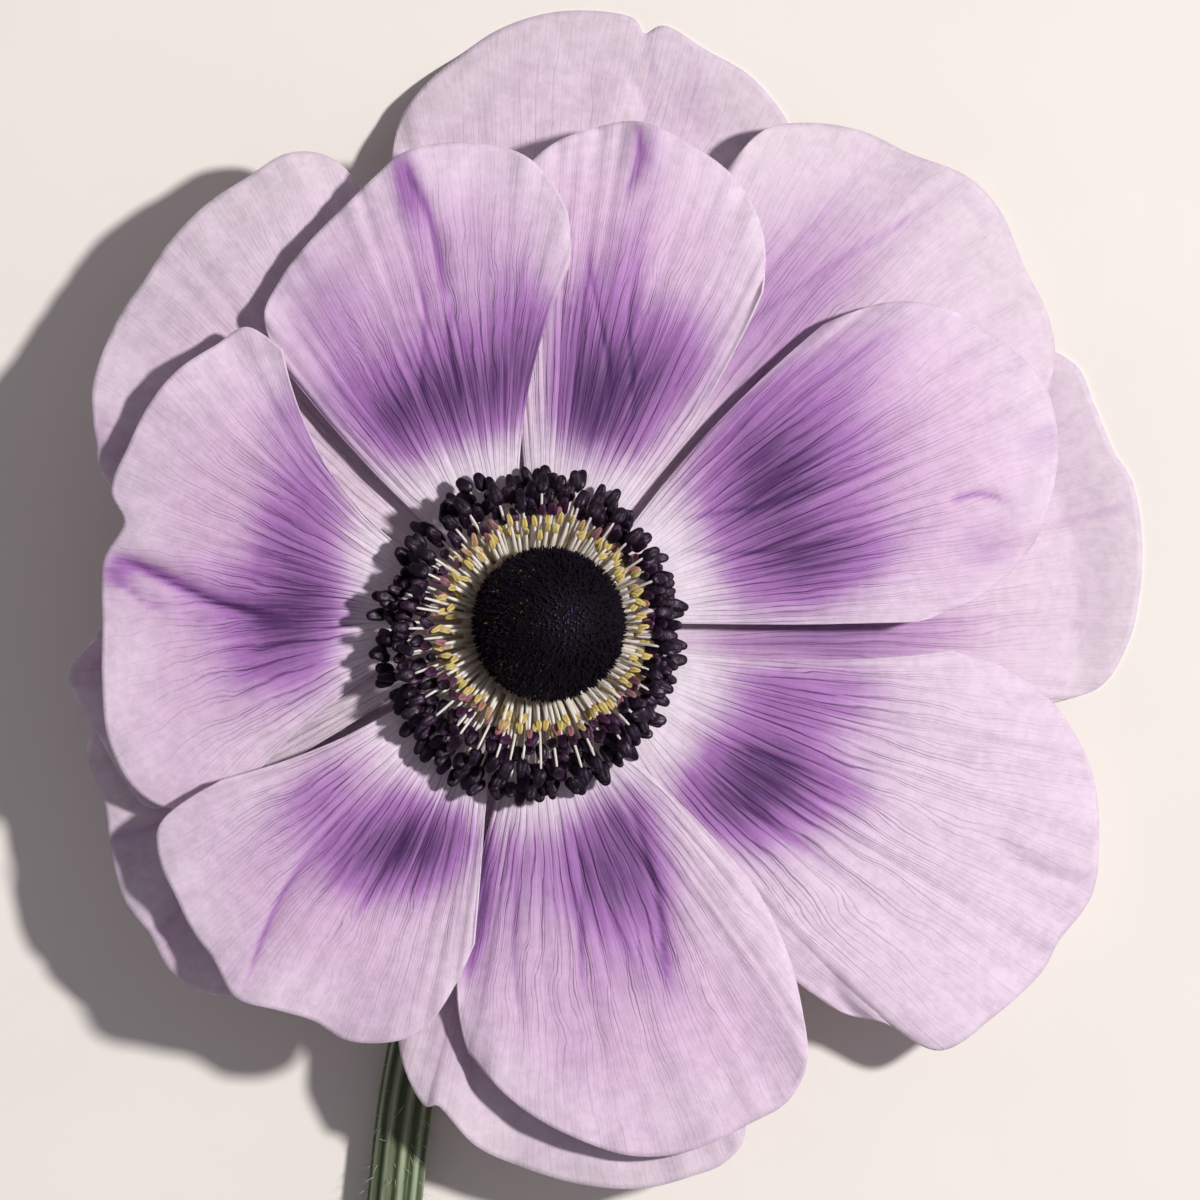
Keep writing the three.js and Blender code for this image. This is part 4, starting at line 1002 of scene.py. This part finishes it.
def anther_shapes(stamen, slices, sides):
    """Beans: the half-width is that of a blunt oval, a little fuller near the neck, and flattened."""
    neck, axis, long, half = stamen[:, 3:6], stamen[:, 6:9], stamen[:, 9], stamen[:, 10]
    t = (1 - np.cos(np.pi * np.linspace(0.03, 0.97, slices))) / 2
    curl = np.cross(axis, unit(np.cross(axis, [0.1, 0.2, 1.0])))
    paths = (neck[:, None] + axis[:, None] * (t[None, :, None] - 0.12) * long[:, None, None]
             + curl[:, None] * ((t[None, :, None] - 0.5) ** 2) * 0.5)
    swell = (1 - np.abs(2 * t - 1) ** 2.8) ** 0.5 * (1 + 0.10 * np.sin(np.pi * t * 2))
    wide = half[:, None] * swell[None]
    return tubes(leaned(paths), wide, wide * 0.70, sides, furrow=0.42, upward=(0.05, 0.08, 1.0))


outer_stamens = stamens(OUTER_ROWS, 6.0, 13.5, 11, 1.0)
inner_stamens = stamens(INNER_ROWS, 5.3, 14.5, 23, 0.25)
print(len(outer_stamens), "outer stamens,", len(inner_stamens), "inner stamens")

# %% [markdown]
# The stamens rise from a collar, a low ring on the knob. It is a profile turned round the axis. The
# filaments and the collar share a cream finish that turns faintly lilac near the anthers. The
# anther's finish runs from yellow to black with its age, and the slit between the lobes is darker.
# On the sides of the ripe lobes lie lighter patches, partly pollen dust and partly painted highlight.

# %% Collar
COLLAR_SIDES = 72


def collar_skin(inner, outer, low, high):
    """A ring with a rounded top: a profile of six corners, turned about the upright axis."""
    profile = np.array([
        (inner, low), (outer, low), (outer + 0.05, high - 0.35), (outer - 0.3, high - 0.05),
        ((inner + outer) / 2, high), (inner, high - 0.15)])
    turn = 2 * np.pi * np.arange(COLLAR_SIDES) / COLLAR_SIDES
    ring = around_axis(profile[:, 0, None], turn, profile[:, 1, None])
    i, j = np.meshgrid(np.arange(len(profile)), np.arange(COLLAR_SIDES), indexing="ij")
    here, above = i * COLLAR_SIDES, (i + 1) % len(profile) * COLLAR_SIDES
    j_next = (j + 1) % COLLAR_SIDES
    quads = [here + j, here + j_next, above + j_next, above + j]
    return leaned(ring.reshape(-1, 3)), [np.stack([corner.ravel() for corner in quads], 1)]


# %% Filament and anther finishes
filament_finish, tree = new_finish("filament_cream")
[way] = stored(tree, "way")
fleck = noise(own_place(tree), 1800.0, 3.0)
skin(tree, {
    "Base Color": coated(
        way.between((238, 220, 194), (248, 242, 234)),
        (way.eased(0.85, 1.0, 0.0, 0.5), (170, 132, 164)),
        (fleck.eased(0.45, 0.75, 0.0, 0.35), (196, 172, 140))),
    "Roughness": 0.42, "Subsurface Weight": 0.4, "Subsurface Radius": (1.0, 0.85, 0.7),
    "Subsurface Scale": 0.0006})

anther_finish, tree = new_finish("anther_black")
age, slit, lobe = stored(tree, "age", "slit", "lobe")
grain = noise(own_place(tree), 2600.0, 4.0)
young = age.eased(0.12, 0.34).between((218, 197, 116), (164, 112, 118))
ripe = age.eased(0.62, 0.88).between((72, 34, 68), (19, 8, 23))
# Lighter patches on the sides of ripe lobes: partly pollen dust, partly painted highlight.
dusty = grain.eased(0.48, 0.75, 0.0, 0.42) * lobe * age.eased(0.5, 0.8)
dark_slit = age.eased(0.25, 0.6).between((96, 70, 20), (6, 3, 9))
skin(tree, {
    "Base Color": coated(young, (age.eased(0.40, 0.60), ripe), (dusty, (82, 60, 88)),
                         (slit * 0.8, dark_slit)),
    "Roughness": grain.eased(0.3, 0.7, 0.32, 0.6), "Specular IOR Level": 0.35,
    "Specular Tint": (0.86, 0.66, 0.9, 1.0)}, grain, 0.6, 0.00012)
print("anther finish of", len(tree.nodes), "nodes")

# %% Make the stamens
FILAMENT_SLICES, FILAMENT_SIDES, ANTHER_SLICES, ANTHER_SIDES = 9, 6, 11, 14


def stamen_pieces(word, found, collar, node_name, thick):
    """The filaments with their collar as one piece, and the anthers as another."""
    paths = filament_paths(found, FILAMENT_SLICES)
    taper = np.linspace(1.15, 0.75, FILAMENT_SLICES)[None] * thick
    points, faces, way, _ = tubes(leaned(paths), taper, taper, FILAMENT_SIDES, upward=(0.29, 0.13, 0.4))
    ring_points, ring_faces = collar_skin(*collar)
    everything, every_face = joined((ring_points, ring_faces), (points, faces))
    piece(f"filaments_{word}", everything, every_face, filament_finish, [node_name],
          {"way": np.concatenate([np.zeros(len(ring_points)), way])})
    points, faces, way, around = anther_shapes(found, ANTHER_SLICES, ANTHER_SIDES)
    each = len(points) // len(found)
    slit = np.exp(-(np.cos(around) / 0.30) ** 2) * eased_step(np.sin(np.pi * way), 0.1, 0.5)
    piece(f"anthers_{word}", points, faces, anther_finish, [node_name],
          {"age": np.repeat(found[:, 11], each), "slit": slit, "lobe": np.abs(np.cos(around)) ** 2})


stamen_pieces("outer", outer_stamens, (4.6, 6.5, 13.0, 13.8), "stamens_outer", 0.135)
stamen_pieces("inner", inner_stamens, (4.4, 6.0, 14.15, 14.8), "stamens_inner", 0.168)

# %% [markdown]
# ## Bracts
# Three small leaves sit round the stem behind the head, each cut into narrow pointed lobes. A lobe
# is a strip that widens towards its middle and ends in a point. Its section is flat and sinks along
# the midrib. Each leaf is a fan of such strips that grow from one another, at the angles that the
# frame gives, and the frame's own arch carries them.

# %% The bracts' measures
BRACTS = {
    "bract_left": dict(root=(-9.0, -21.3, 2.4), azimuth=150, length=23, arch=6),
    "bract_right": dict(root=(-3.4, -22.8, 2.4), azimuth=-18, length=24, arch=4),
    "bract_top": dict(root=(-5.9, -21.8, 5.3), azimuth=33, length=21, arch=3),
}
# start out and aside, tip out and aside, all as shares of the length, and the width in millimetres
BRACT_LOBES = np.array([
    (0, 0, 1, 0, 3.2), (0.1, 0, 0.62, 0.34, 2.6), (0.35, 0, 0.86, 0.24, 2.2),
    (0.6, 0, 0.95, 0.12, 1.6), (0.32, 0.14, 0.4, 0.36, 1.6), (0.34, 0.155, 0.72, 0.36, 1.6)])
print(len(BRACTS), "bracts of", 2 * len(BRACT_LOBES) - 1, "lobes")

# %% From lobes to a bract
LOBE_SLICES, LOBE_SIDES, LOBE_HALF_THICKNESS, WIDEST = 34, 20, 0.24, 0.45


def bract_skin(bract):
    """All lobes of a leaf at once. A lobe widens over WIDEST of its way. From there its width is 1
    less the share of the rest that is gone, to the power 1.8. Its section is a flattened ring that
    sinks along the midrib. The arch is out times (1.7 - 2.1 * out)."""
    both = np.concatenate([BRACT_LOBES, BRACT_LOBES[1:] * [1, -1, 1, -1, 1]])
    heading, length = np.radians(bract["azimuth"]), bract["length"]
    share = np.linspace(0.0, 1.0, LOBE_SLICES)
    out = both[:, 0, None] + (both[:, 2] - both[:, 0])[:, None] * share
    aside = both[:, 1, None] + (both[:, 3] - both[:, 1])[:, None] * share
    aside = aside + 0.02 * np.sin(share * np.pi) * np.sign(both[:, 3])[:, None]
    path = bract["root"] + np.stack([
        length * (out * np.cos(heading) - aside * np.sin(heading)),
        length * (out * np.sin(heading) + aside * np.cos(heading)),
        bract["arch"] * out * (1.7 - 2.1 * out)], -1)
    full = ((0.6 + 0.4 * eased_step(share, 0, WIDEST))
            * np.clip(1 - ((share - WIDEST) / (1 - WIDEST)).clip(0) ** 1.8, 0.02, 1))
    wide = both[:, 4, None] / 2 * full * (1 + 0.05 * np.sin(share * 21))
    high = LOBE_HALF_THICKNESS * (0.35 + 0.65 * full)
    points, faces, way, around = tubes(path, wide, high, LOBE_SIDES, furrow=0.45)
    points[:, 2] = np.maximum(points[:, 2], 0)
    return points, faces, way, around


# %% Bract finish
leaf_finish, tree = new_finish("bract_green")
own = own_place(tree)
midrib, tipward = stored(tree, "midrib", "tipward")
fine = cells(own, 1500.0, feature="DISTANCE_TO_EDGE")
colour = coated(
    noise(own, 300.0, 4.0).between((66, 88, 46), (104, 124, 76)), (midrib * 0.7, (150, 162, 118)),
    (fine.eased(0.0, 0.12, 0.35, 0.0), (128, 146, 98)),
    (tipward.eased(0.8, 1.0, 0.0, 0.5), (120, 84, 84)))
skin(tree, {"Base Color": colour, "Roughness": 0.55, "Subsurface Weight": 0.1,
            "Subsurface Radius": (0.5, 1.0, 0.3), "Subsurface Scale": 0.0006, "Sheen Weight": 0.2},
     fine, 0.4, 0.0002)

for name, bract in BRACTS.items():
    points, faces, way, around = bract_skin(bract)
    midrib = np.exp(-(np.cos(around) / 0.18) ** 2)
    piece(name, points, faces, leaf_finish, [name], {"midrib": midrib, "tipward": way})
